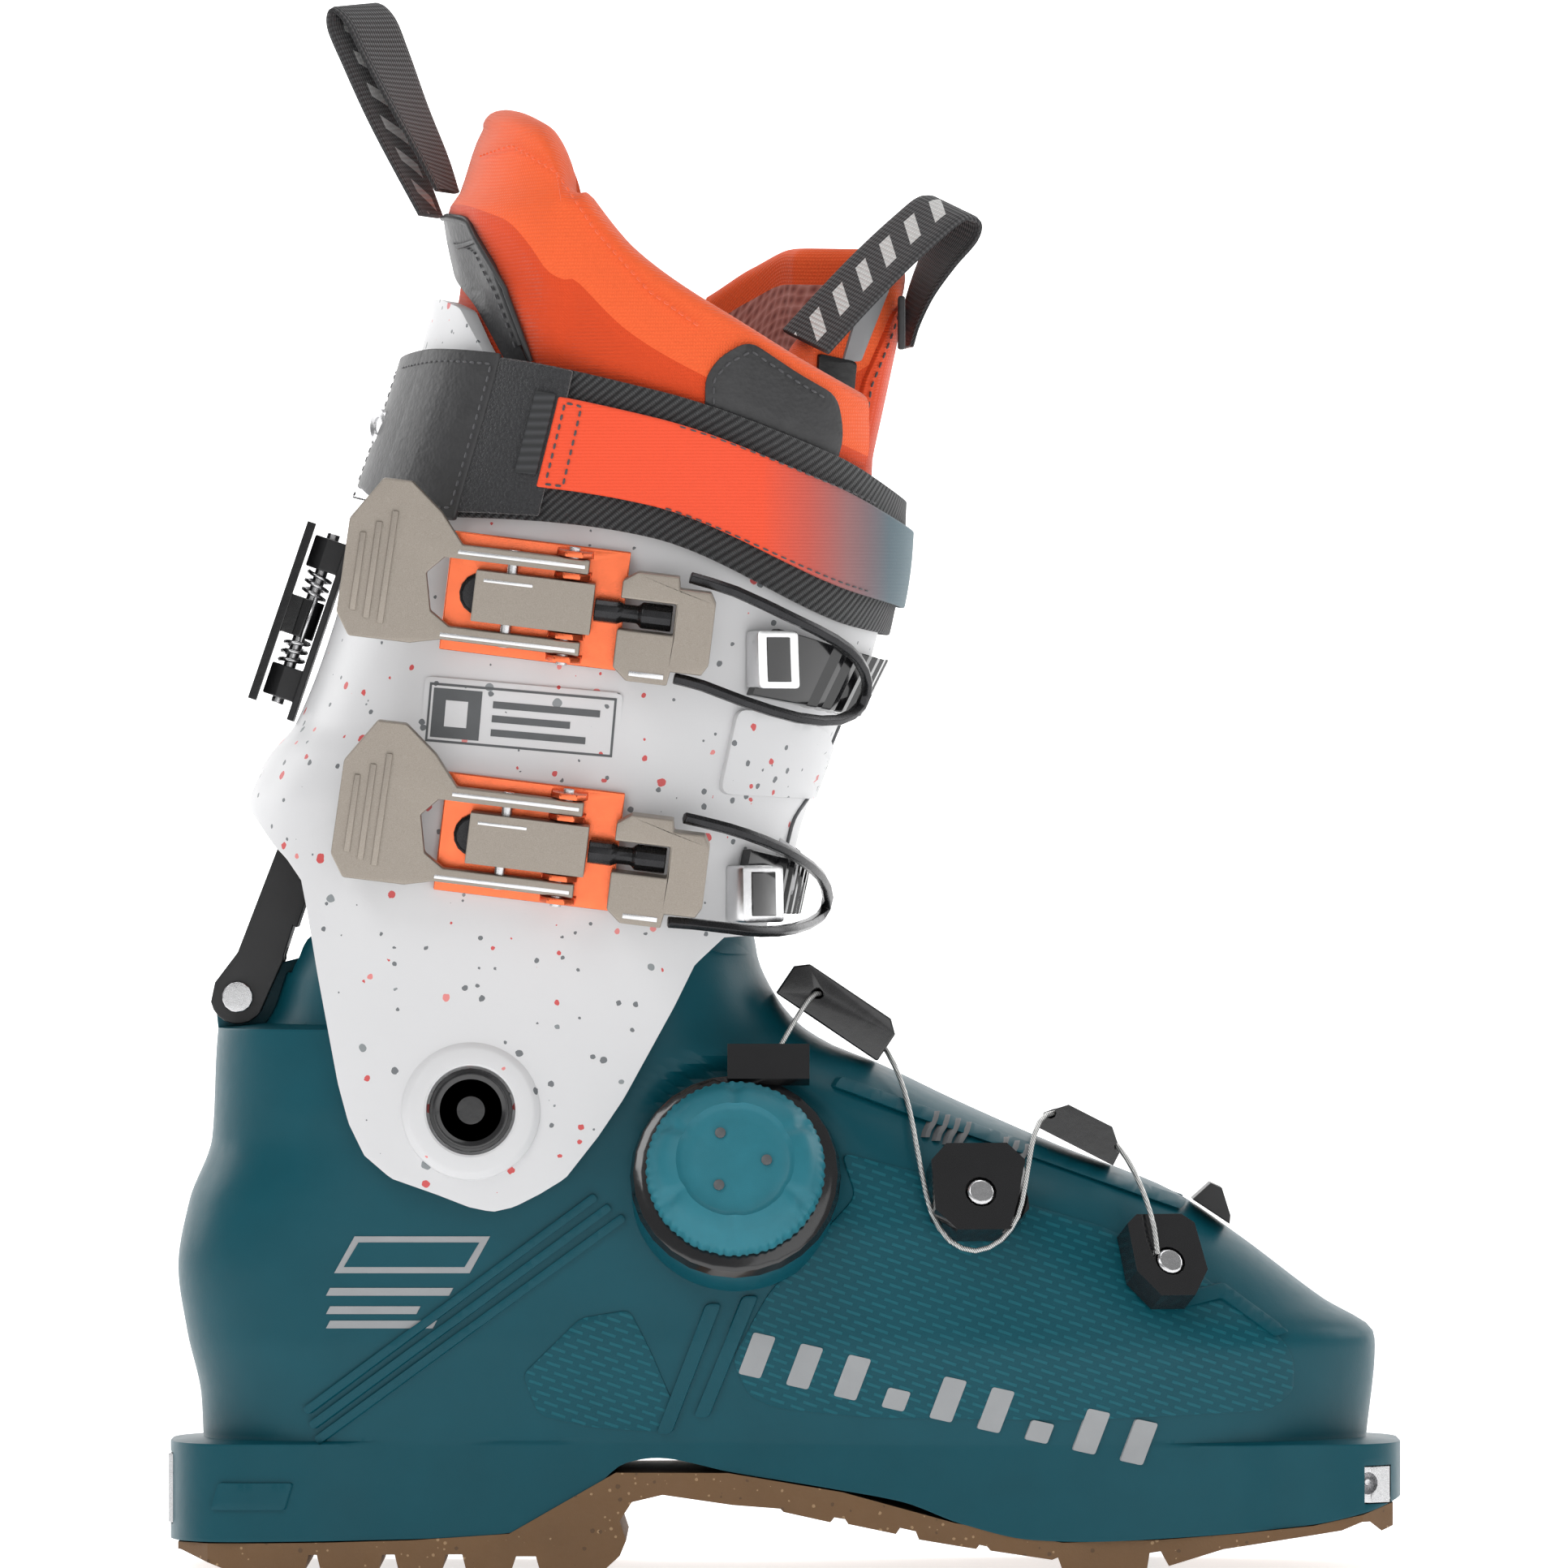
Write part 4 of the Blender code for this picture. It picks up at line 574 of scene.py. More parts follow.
def leg_half(x, z, grow=0.0):
    """Half the leg's width there; grow moves the cuff's outer face outward."""
    rear, front = leg_range(z, grow)
    ends = rounding(x - rear, table(LEG_REAR_ZONE, z) + grow, ROUNDNESS)
    ends *= rounding(front - x, table(LEG_FRONT_ZONE, z) + grow, ROUNDNESS)
    return (table(LEG_WIDTH, z) + grow) * ends


def leg_point(turn, z, grow=0.0):
    return ring_point(leg_range, leg_half, turn, z, grow)


def leg_turn(x, z):
    return turn_at(leg_range, x, z)


def steps(start, end, count):
    return [start + (end - start) * k / count for k in range(count + 1)]


def smooth_path(points, count):
    """A smooth curve through the points, with count steps between two of them."""
    points = [Vector(p) for p in points]
    ends = [points[0] * 2 - points[1]] + points + [points[-1] * 2 - points[-2]]
    path = []
    for a, b, c, d in zip(ends, ends[1:], ends[2:], ends[3:]):
        for k in range(count):
            t = k / count
            path.append(0.5 * (2 * b + (c - a) * t + (2 * a - 5 * b + 4 * c - d) * t**2
                               + (3 * b - a - 3 * c + d) * t**3))
    return path + [points[-1]]


# ---------------------------------------------------------------- mesh helpers
def piece(name, points, faces, finish, body, flat_uv=None, sharp=35, modify=None, kinds=None):
    """A mesh in millimetres from the middle plane, riding on a body; finish is a material or several."""
    mesh = bpy.data.meshes.new(name)
    mesh.from_pydata([(p[0] * MM, (p[1] + MID_Y) * MM, p[2] * MM) for p in points], [], faces)
    made = bpy.data.objects.new(name, mesh)
    bpy.context.scene.collection.objects.link(made)
    for each in finish if isinstance(finish, list) else [finish]:
        mesh.materials.append(each)
    if kinds:
        mesh.polygons.foreach_set("material_index", kinds)
    if flat_uv is not None:
        layer = mesh.uv_layers.new(name="UVMap")
        corners = np.empty(len(mesh.loops), np.int32)
        mesh.loops.foreach_get("vertex_index", corners)
        layer.data.foreach_set("uv", (np.array(flat_uv, np.float32)[corners] * MM).ravel())
    form = bmesh.new()
    form.from_mesh(mesh)
    bmesh.ops.recalc_face_normals(form, faces=form.faces)
    form.to_mesh(mesh)
    form.free()
    if modify:
        modify(made)
        bpy.context.view_layer.update()
        graph = bpy.context.evaluated_depsgraph_get()
        final = bpy.data.meshes.new_from_object(made.evaluated_get(graph))
        made.modifiers.clear()
        made.data = final
        final.name = name
    shade(made.data, sharp)
    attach(made, body)
    return made


def shade(mesh, sharp):
    mesh.polygons.foreach_set("use_smooth", [True] * len(mesh.polygons))
    form = bmesh.new()
    form.from_mesh(mesh)
    for edge in form.edges:
        edge.smooth = len(edge.link_faces) == 2 and edge.calc_face_angle(0) < radians(sharp)
    form.to_mesh(mesh)
    form.free()


def bevelled(made, width, segments=3, angle=50):
    """Rounds the edges that are sharper than that many degrees; width is in millimetres."""
    bevel = made.modifiers.new("edge", "BEVEL")
    bevel.width = width * MM
    bevel.segments = segments
    bevel.limit_method = "ANGLE"
    bevel.angle_limit = radians(angle)


def thickened(made, thick):
    solid = made.modifiers.new("solid", "SOLIDIFY")
    solid.thickness = thick * MM
    solid.offset = -1
    return solid


def grid_faces(rows, columns, closed=False):
    faces = []
    for r in range(rows - 1):
        for c in range(columns if closed else columns - 1):
            d = (c + 1) % columns
            low, high = r * columns, (r + 1) * columns
            faces.append((low + c, low + d, high + d, high + c))
    return faces


def lengths(rows):
    """Flat coordinates in millimetres for a grid: along the row, and up the columns."""
    flat = []
    up = [0.0] * len(rows[0])
    for r, row in enumerate(rows):
        along = 0.0
        for c, point in enumerate(row):
            if c:
                along += (point - row[c - 1]).length
            if r:
                up[c] += (point - rows[r - 1][c]).length
            flat.append((along, up[c]))
    return flat


def sheet_of(name, rows, finish, body, thick, edge=0.5, closed=False):
    """A skin on a grid of points, with thickness on its inner side and a rounded edge."""
    def modify(made):
        thickened(made, thick)
        bevelled(made, edge)
    faces = grid_faces(len(rows), len(rows[0]), closed)
    points = [p for row in rows for p in row]
    outward_first(points, faces)
    return piece(name, points, faces, finish, body, lengths(rows), modify=modify)


def outward_first(points, faces):
    """Turns the faces so that the middle one looks away from the leg's axis."""
    a, b, c, d = (Vector(points[k]) for k in faces[len(faces) // 2])
    middle = (a + b + c + d) / 4
    if (b - a).cross(d - a).dot(middle - Vector((-30 if middle.z > 160 else 0, 0, middle.z))) < 0:
        faces[:] = [face[::-1] for face in faces]


def outline_points(polygon, pitch):
    """The polygon's border with a point every pitch or so."""
    points = []
    for (x0, z0), (x1, z1) in zip(polygon, polygon[1:] + polygon[:1]):
        count = max(int(sqrt((x1 - x0) ** 2 + (z1 - z0) ** 2) / pitch), 1)
        points += [(x0 + (x1 - x0) * k / count, z0 + (z1 - z0) * k / count) for k in range(count)]
    return points


def rounded(polygon, radius):
    """The polygon with its corners cut by short arcs."""
    made = []
    count = len(polygon)
    for k, corner in enumerate(polygon):
        here = Vector(corner)
        back = Vector(polygon[k - 1]) - here
        ahead = Vector(polygon[(k + 1) % count]) - here
        cut = min(radius, back.length * 0.45, ahead.length * 0.45)
        first, last = here + back.normalized() * cut, here + ahead.normalized() * cut
        for t in (0, 0.25, 0.5, 0.75, 1):
            made.append(tuple(first * (1 - t) ** 2 + here * 2 * t * (1 - t) + last * t * t))
    return made


def plate(name, polygon, place, finish, body, thick, edge=0.3, pitch=2.0, low=0.0):
    """A thin raised plate of that side-view outline, laid on a surface from low to low + thick.

    place maps (x, z, lift) to a point, and pitch is the size of the plate's mesh."""
    border = outline_points(polygon, pitch)
    xs = [x for x, _ in border]
    zs = [z for _, z in border]
    inner = [(x, z) for x in np.arange(min(xs), max(xs), pitch * 1.3)
             for z in np.arange(min(zs), max(zs), pitch * 1.3)]
    flat = [Vector(p) for p in border + inner]
    ring = [(k, (k + 1) % len(border)) for k in range(len(border))]
    verts, _, faces, _, _, _ = delaunay_2d_cdt(flat, ring, [], 1, 1e-5)
    faces = [f for f in faces if len(f) > 2]
    used = sorted({k for f in faces for k in f})
    index = {k: n for n, k in enumerate(used)}
    flats = [(verts[k].x, verts[k].y) for k in used]
    faces = [tuple(index[k] for k in f) for f in faces]
    top = [place(x, z, low + thick) for x, z in flats]
    count = len(top)
    points = top + [place(x, z, low) for x, z in flats]
    sides = {}
    for f in faces:
        for a, b in zip(f, f[1:] + f[:1]):
            sides[(a, b)] = sides.get((a, b), 0) + 1
    whole = list(faces) + [tuple(count + k for k in reversed(f)) for f in faces]
    whole += [(b, a, a + count, b + count) for a, b in sides if (b, a) not in sides]

    modify = (lambda made: bevelled(made, edge, 2)) if edge else None
    return piece(name, points, whole, finish, body, flats + flats, modify=modify)


def on_leg(x, z, lift):
    """Lays side-view points on the cuff's outer side."""
    return leg_point(leg_turn(x, z), z, lift)


def on_shell(side):
    """Lays side-view points on the shell's outer side, -1, or its inner side, 1."""
    def place(x, z, lift):
        turn = shell_turn(x, z)
        return shell_point(turn if side < 0 else 2 - turn, z, lift + shell_relief(x, z))
    return place


def capped(points, sides):
    """Faces between rings of that many points, with both ends closed."""
    faces = grid_faces(len(points) // sides, sides, True)
    return faces + [tuple(range(sides)), tuple(range(len(points) - sides, len(points)))]


def tube(name, path, radius, finish, body, sides=8):
    """A round bar along points."""
    points = []
    across = None
    for before, here, after in zip([path[0]] + path, path, path[1:] + [path[-1]]):
        ahead = (after - before).normalized()
        if across is None:
            across = Vector((0, 0, 1)) if abs(ahead.z) < 0.9 else Vector((1, 0, 0))
        across = (across - ahead * across.dot(ahead)).normalized()
        other = ahead.cross(across)
        for n in range(sides):
            angle = 2 * pi * n / sides
            points.append(here + across * cos(angle) * radius + other * sin(angle) * radius)
    return piece(name, points, capped(points, sides), finish, body, sharp=60)


def stitches(name, path, finish, body, pitch=2.6, radius=0.28, fill=0.62):
    """A dashed row of thread along a path, as one mesh of short round bars."""
    total = [0.0]
    for a, b in zip(path, path[1:]):
        total.append(total[-1] + (b - a).length)

    def at(distance):
        distance = min(max(distance, 0), total[-1])
        for k in range(len(total) - 1):
            if distance <= total[k + 1]:
                return path[k].lerp(path[k + 1], (distance - total[k]) / max(total[k + 1] - total[k], 1e-6))
        return path[-1]
    points, faces = [], []
    for n in range(int(total[-1] / pitch)):
        first, last = at(n * pitch), at((n + fill) * pitch)
        ahead = (last - first).normalized()
        across = ahead.cross(Vector((0.3, 1, 0.2))).normalized()
        other = ahead.cross(across)
        for share, size in ((0, 0.4), (0.2, 1), (0.8, 1), (1, 0.4)):
            spot = first.lerp(last, share)
            points += [spot + across * radius * size * cos(a) + other * radius * size * sin(a)
                       for a in (0, pi / 2, pi, 3 * pi / 2)]
        base = 16 * n
        for k in range(3):
            low = base + 4 * k
            faces += [(low + a, low + (a + 1) % 4, low + 4 + (a + 1) % 4, low + 4 + a) for a in range(4)]
        faces += [(base, base + 1, base + 2, base + 3), (base + 12, base + 13, base + 14, base + 15)]
    return piece(name, points, faces, finish, body, None, 80)


def axis_frame(centre, axis):
    """A frame whose y is the axis and whose z leans upward."""
    y = Vector(axis).normalized()
    x = y.cross(Vector((0, 0, 1))).normalized()
    return Matrix.Translation(Vector(centre)) @ Matrix((x, y, x.cross(y))).transposed().to_4x4()


def turned(name, profile, frame, finish, body, sides=64, wobble=None, sharp=30):
    """A turned shape from (along, radius) pairs about the frame's y.

    wobble gives a factor of the radius from the angle and the step."""
    points = []
    for step, (along, radius) in enumerate(profile):
        for k in range(sides):
            angle = 2 * pi * k / sides
            r = radius * (wobble(angle, step) if wobble else 1)
            points.append(frame @ Vector((r * sin(angle), along, r * cos(angle))))
    return piece(name, points, capped(points, sides), finish, body, sharp=sharp)


def finish_node(name, material, edge):
    """Gives a CAD node its material, soft edges and clean shading, with its mesh left alone."""
    node = NODES[name]
    node.data.materials.clear()
    node.data.materials.append(material)
    node.data.polygons.foreach_set("use_smooth", [True] * len(node.data.polygons))
    node.modifiers.new("weld", "WELD").merge_threshold = WELD
    if edge:
        bevelled(node, edge, 2, 28)
    normals = node.modifiers.new("normals", "WEIGHTED_NORMAL")
    normals.weight = 80
    normals.keep_sharp = False


def drawn_out(outline, low, high, place):
    """Points and faces of an outline drawn out from low to high; place maps (a, b, height)."""
    count = len(outline)
    points = [place(a, b, height) for height in (low, high) for a, b in outline]
    faces = [tuple(range(count)), tuple(range(2 * count - 1, count - 1, -1))]
    faces += [(k, (k + 1) % count, count + (k + 1) % count, count + k) for k in range(count)]
    return points, faces


def prism(name, outline, low, high, finish, body, frame=Matrix(), edge=0.4):
    """An outline of (x, z) pairs drawn out along y, with softened edges."""
    shape = drawn_out(outline, low, high, lambda x, z, y: frame @ Vector((x, y, z)))
    return piece(name, *shape, finish, body, modify=lambda made: bevelled(made, edge, 3, 25))


def loft(name, rings, finish, body, sharp=40, kinds=None):
    """Closed loops joined in order and capped, with flat coordinates by arc length.

    kinds gives each step of a loop the number of its material."""
    count = len(rings[0])
    rows = [ring + [ring[0]] for ring in rings]
    points = [p for row in rows for p in row]
    faces = grid_faces(len(rows), count + 1)
    faces += [tuple(range(count)), tuple(range(len(points) - 2, len(points) - 2 - count, -1))]

    def modify(made):
        made.modifiers.new("weld", "WELD").merge_threshold = WELD
    if kinds:
        kinds = kinds * (len(rows) - 1) + [0, 0]
    return piece(name, points, faces, finish, body, lengths(rows), sharp, modify, kinds)


# ---------------------------------------------------------------- lower shell
def floor_level(x, z):
    """The level bent to the sole's underside, for the lowest levels."""
    return z + (table(SHELL_BOTTOM, x) - 8) * clamp((31 - z) / 23)


def shell_relief(x, z):
    """Soft modelling on the flank, in millimetres outward."""
    lift = 0.0
    hollow = clamp(1 - abs(z - 62) / 34) * clamp((x + 62) / 40) * clamp((24 - x) / 30)
    lift -= 0.9 * soft(hollow)
    line = z - (118 - (x - 10) * 0.33)
    if 6 < x < 97:
        lift += 0.7 * soft((line + 3) / 3.5) * soft((x - 6) / 8)
    facet = clamp((x + 78) / 6) * clamp((-50 - x) / 6) * clamp((34 - z) / 5)
    return lift - 0.8 * facet


def behind_dial(point):
    """Keeps the flank behind the dial's seat."""
    gap = point - DIAL
    along = gap.dot(DIAL_AXIS)
    if point.y < 0 and along > -0.6:
        away = (gap - DIAL_AXIS * along).length
        point.y += (along + 0.6) / cos(DIAL_TILT) * (1 - soft((away - 25.6) / 5))
    return point


def shell_row(z, mix=0.0, floor=False):
    """One level of the shell, bent to the rim by mix, or to the sole's underside."""
    rear, front = shell_range(z)
    if z < LEDGE:
        rear, front = rear + 0.25, front - 0.25
    side = []
    for k in range(SHELL_STATIONS + 1):
        x = rear + (front - rear) * (1 - cos(pi * k / SHELL_STATIONS)) / 2
        height = floor_level(x, z) if floor else z
        height += (shell_rim(x) - height) * mix
        half = shell_half(x, z)
        if half > 6 and not floor:
            half += shell_relief(x, z) * clamp((half - 6) / 12)
        side.append(Vector((x, -half, height)))
    ring = [behind_dial(p.copy()) for p in side]
    return ring + [Vector((p.x, -p.y, p.z)) for p in side[-2:0:-1]]


def cutter(outline, low, high, plan=False):
    """A block for a cut, drawn from (x, z) pairs along y, or from (x, y) pairs along z."""
    shape = drawn_out(outline, low, high, lambda a, b, h: Vector((a, b, h) if plan else (a, h, b)))
    return piece("cutter", *shape, [], "shell")


def cut_with(made, other):
    """Takes a cutter out of a piece."""
    step = made.modifiers.new("cut", "BOOLEAN")
    step.operation = "DIFFERENCE"
    step.solver = "EXACT"
    step.object = other


def lower_shell(m):
    rows = [shell_row(z, 0, True) for z in (8, 8.8, 11, 15, 19, 23, 26.5, 29, 30.4, 31)]
    levels = [31.7, 33] + [33 + 1.9 * k for k in range(1, 53)] + [132.4, 133.0, 133.6]
    rows += [shell_row(z) for z in levels + [135 + 2.5 * k for k in range(7)]]
    rows += [shell_row(150 + 7 * mix, mix) for mix in (0.25, 0.5, 0.75, 1)]
    points = [p for row in rows for p in row]
    faces = grid_faces(len(rows), len(rows[0]), True)
    heel = cutter(rectangle(-160, 10.6, -148.1, 28.4), -15.4, 15.4)
    centre = sum(x for x, _ in TOE_PLATE) / len(TOE_PLATE)
    plan = [(x + (0.35 if x > centre else -0.35), y + 1.05) for x, y in TOE_PLATE]
    toe = cutter(plan + [(x, -y) for x, y in reversed(plan)], 16.3, 25.7, plan=True)
    notch = cutter(rectangle(-130, 146, -100, 180), -13.5, 13.5)

    def modify(made):
        thickened(made, SHELL_WALL)
        for other in (heel, toe, notch):
            cut_with(made, other)
        bevelled(made, 0.7, 2, 55)
    shell = piece("shell_skin", points, faces, m["teal"], "shell", None, 40, modify)
    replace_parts(shell, "lower_shell")
    for other in (heel, toe, notch):
        bpy.data.objects.remove(other, do_unlink=True)

    turned("dial_boss", [(-0.4, 24.5), (-1.6, 25.2), (-9, 25.6)], dial_frame(), m["teal"], "shell", 96)
    boss = [(-139.5, 130), (-120, 130), (-118, 150)] + [
        (-134.7 + 6 * cos(radians(a)), 140 + 6 * sin(radians(a))) for a in steps(80, 200, 10)]
    prism("link_boss", boss, -4.5, 4.5, m["teal"], "shell")


def dial_frame(along=0.0):
    return axis_frame(DIAL + DIAL_AXIS * along, DIAL_AXIS)


def rectangle(left, low, right, high):
    return [(left, low), (right, low), (right, high), (left, high)]


def bar(x0, z0, x1, z1, width, square=False):
    """A slanted bar's outline: its ends are level, or square to it."""
    if square:
        ahead = Vector((x1 - x0, z1 - z0)).normalized()
        side = Vector((-ahead.y, ahead.x)) * width / 2
        first, last = Vector((x0, z0)), Vector((x1, z1))
        return [tuple(p) for p in (first + side, first - side, last - side, last + side)]
    return [(x0 - width / 2, z0), (x0 + width / 2, z0), (x1 + width / 2, z1), (x1 - width / 2, z1)]


def flank_mark(k):
    """The k-th slanted bar of the row on the flank; the fourth and seventh are short."""
    x = -11.5 + 11.6 * k
    low = 48.5 - 0.225 * (x + 11.5)
    lean, top = (1.8, 3.6) if k in (3, 6) else (3.8, 9)
    return [(x, low), (x + 5.4, low - 1.2), (x + 5.4 + lean, low + top), (x + lean, low + top + 1.2)]


def dash(x, z, k, rise):
    return bar(x + 2.6 * k, z - 0.9 * k, x - 1.4 + 2.6 * k, z - rise - 0.9 * k, 1.1)


def shell_details(m):
    """Raised and printed shapes on both flanks."""
    panel = [(13.5, 102.6), (34, 97.3), (56, 90.8), (76.5, 84.6), (100, 73.5), (121, 57), (124, 52),
             (124, 44), (118, 39.5), (70, 37.5), (20, 38), (-2, 40), (-9, 43), (-13, 52), (-4, 68),
             (8, 82), (17, 92)]
    corner = [(-60, 38), (-46, 35), (-30, 34), (-27, 40), (-33, 54), (-38, 64), (-50, 62), (-64, 48)]
    lip = [(10.5, 118.6), (30, 111.2), (60, 100.8), (95.6, 88.2), (96.4, 90.6), (61, 103.4), (31, 114),
           (12, 121)]
    arrow = [(93.5, 68), (106, 70.6), (122.5, 58.6), (119, 57.6), (105.5, 67), (94.5, 64.6)]
    ribs = [bar(-114 + dx * 0.4, 31.8 + dz, -39.5 + dx, 86.8 + dz * 0.7, 2.0, True)
            for dx, dz in ((0, 0), (-3.4, 3.6), (-6.8, 7.2))]
    slants = [bar(-17.5, 65.6, -29.5, 33.6, 3.6), bar(-8.5, 67.6, -20.5, 37.6, 3.6)]
    lines = [[(-112, z), (-112 + length, z), (-111 + length, z + 1.9), (-111, z + 1.9)]
             for z, length in ((67.5, 30), (63, 22), (59.5, 26))]
    heel_step = [(-140, 15), (-122, 15), (-120, 21.6), (-138, 21.6)]
    heel_mark = [(-110, 73), (-77, 73), (-72, 82), (-105, 82)]
    heel_inside = [(-107.6, 74.5), (-78.2, 74.5), (-74.6, 80.5), (-104, 80.5)]
    # Name, outline or outlines, corner radius, finish, thickness, edge, mesh size, low side.
    shapes = [
        ("scale_panel", panel, 2.5, "scales", 0.45, 0.25, 1.8, -0.05),
        ("scale_corner", corner, 2, "scales", 0.4, 0.25, 2, -0.05),
        ("heel_rib", ribs, 0.8, "teal", 1.1, 0.5, 1.6, -0.2),
        ("slant_bar", slants, 1.2, "teal", 1.2, 0.5, 1.6, -0.2),
        ("flap_lip", lip, 0.8, "teal", 1.0, 0.45, 1.6, -0.3),
        ("toe_rib", arrow, 0.8, "teal", 1.0, 0.45, 1.4, -0.2),
        ("instep_dash", [dash(35, 112.4, k, 6.2) for k in range(4)], 0, "dark_print", 0.9, 0, 1.5, -0.1),
        ("ridge_dash", [dash(52, 106, k, 6.6) for k in range(3)], 0, "dark_print", 0.9, 0, 1.5, -0.1),
        ("heel_step", heel_step, 0.8, "teal", 0.9, 0.4, 1.6, -0.2),
        ("flank_mark", [flank_mark(k) for k in range(9)], 0.7, "grey_print", 0.62, 0, 1.6, -0.05),
        ("heel_mark", heel_mark, 0, "grey_print", 0.2, 0, 1.8, -0.02),
        ("heel_mark_inside", heel_inside, 0, "teal", 0.3, 0, 1.8, -0.02),
        ("heel_line", lines, 0, "grey_print", 0.2, 0, 1.8, -0.02),
    ]
    for side, word in SIDES:
        place = on_shell(side)
        for name, outlines, radius, finish, *sizes in shapes:
            several = isinstance(outlines[0], list)
            for k, outline in enumerate(outlines if several else [outlines]):
                shape = rounded(outline, radius) if radius else outline
                whole = f"{name}_{word}_{k}" if several else f"{name}_{word}"
                plate(whole, shape, place, m[finish], "shell", *sizes)


# ---------------------------------------------------------------- cuff
def dense(chain, pitch=1.2):
    """The chain of pairs with more points along its straight runs."""
    out = []
    for (a, b), (c, d) in zip(chain, chain[1:]):
        count = max(int(sqrt((c - a) ** 2 + (d - b) ** 2) / pitch), 1)
        out += [(a + (c - a) * k / count, b + (d - b) * k / count) for k in range(count)]
    return out + [chain[-1]]


def turn_where(half, z, front=False):
    """The first turn from the rear, or from the front, where half the leg is wider than that."""
    for k in range(400):
        turn = 1 - k / 800 if front else k / 800
        if abs(leg_point(turn, z).y) > half:
            return turn
    return 0.0


def resampled(chain, count):
    """Points evenly spaced along a chain of (turn, z) pairs, turns counted at 150 mm each."""
    total = [0.0]
    for (a, b), (c, d) in zip(chain, chain[1:]):
        total.append(total[-1] + sqrt(((c - a) * 150) ** 2 + (d - b) ** 2))
    out, k = [], 0
    for n in range(count + 1):
        want = total[-1] * n / count
        while k < len(total) - 2 and total[k + 1] < want:
            k += 1
        t = (want - total[k]) / max(total[k + 1] - total[k], 1e-9)
        out.append(tuple(p + (q - p) * clamp(t) for p, q in zip(chain[k], chain[k + 1])))
    return out


def cuff(m):
    """The cuff's wall, in rows from its lower edge to its upper edge."""
    cut = CUFF_OUTLINE.index((60, 180)) + 1
    lower, upper = dense(CUFF_OUTLINE[:cut]), dense(list(reversed(CUFF_OUTLINE[cut:])))
    rear_turn = turn_where(14, 190)
    front_turn = turn_where(24, 165, True)
    low = [(leg_turn(x, z), z) for x, z in lower]
    low = [p for p in low if rear_turn < p[0] < front_turn]
    low = [(0.0, 196.0), (rear_turn, 196.0), (rear_turn + 0.001, low[0][1])] + low
    low += [(front_turn, low[-1][1]), (front_turn + 0.001, 173.0), (1.0, 173.0)]
    high = [(leg_turn(x, z), z) for x, z in upper]
    high = [(0.0, 312.0)] + [p for p in high if 0.0 < p[0] < 1.0] + [(1.0, 246.5)]
    bottoms = resampled(low, CUFF_STATIONS)
    tops = []
    for n, (turn, _) in enumerate(bottoms):
        want = 0.45 * turn + 0.55 * n / CUFF_STATIONS
        for (a, za), (b, zb) in zip(high, high[1:]):
            if a <= want <= b:
                tops.append((want, za + (zb - za) * (want - a) / max(b - a, 1e-9)))
                break
    rows = []
    for level in steps(0, 1, 84):
        side = [(t0 + (t1 - t0) * level, z0 + (z1 - z0) * level)
                for (t0, z0), (t1, z1) in zip(bottoms, tops)]
        row = [bolt_recess(leg_point(t, z, cuff_relief(t, z))) for t, z in side]
        row += [bolt_recess(leg_point(2 - t, z, cuff_relief(t, z))) for t, z in reversed(side[1:-1])]
        rows.append(row)

    points = [p for row in rows for p in row]
    faces = grid_faces(len(rows), len(rows[0]), True)

    def modify(made):
        thickened(made, CUFF_WALL)
        bevelled(made, 1.1, 3, 55)
    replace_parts(piece("cuff_skin", points, faces, m["white"], "cuff", None, 40, modify), "cuff")

    ring = [(45.5, 17.6), (48.9, 16.8), (50.0, 15.6), (50.3, 14.8), (50.3, 11.4), (50.0, 10.9), (47.2, 10.7)]
    for side, word in SIDES:
        turned(f"pivot_ring_{word}", ring, pivot_frame(side), m["white"], "cuff", 96)


def pivot_frame(side):
    return axis_frame(PIVOT, (0, side, 0))


def bolt_recess(point):
    """Sinks the wall under the pivot's ring, where its bolt shows."""
    away = sqrt((point.x - PIVOT.x) ** 2 + (point.z - PIVOT.z) ** 2)
    if away < RECESS_RADIUS:
        point.y = RECESS_DEPTH if point.y > 0 else -RECESS_DEPTH
    return point


def cuff_relief(turn, z):
    """Soft modelling of the cuff: a step beside the spine."""
    return -0.7 * soft((turn - 0.2) / 0.05) * soft((300 - z) / 10) * soft((z - 205) / 12)


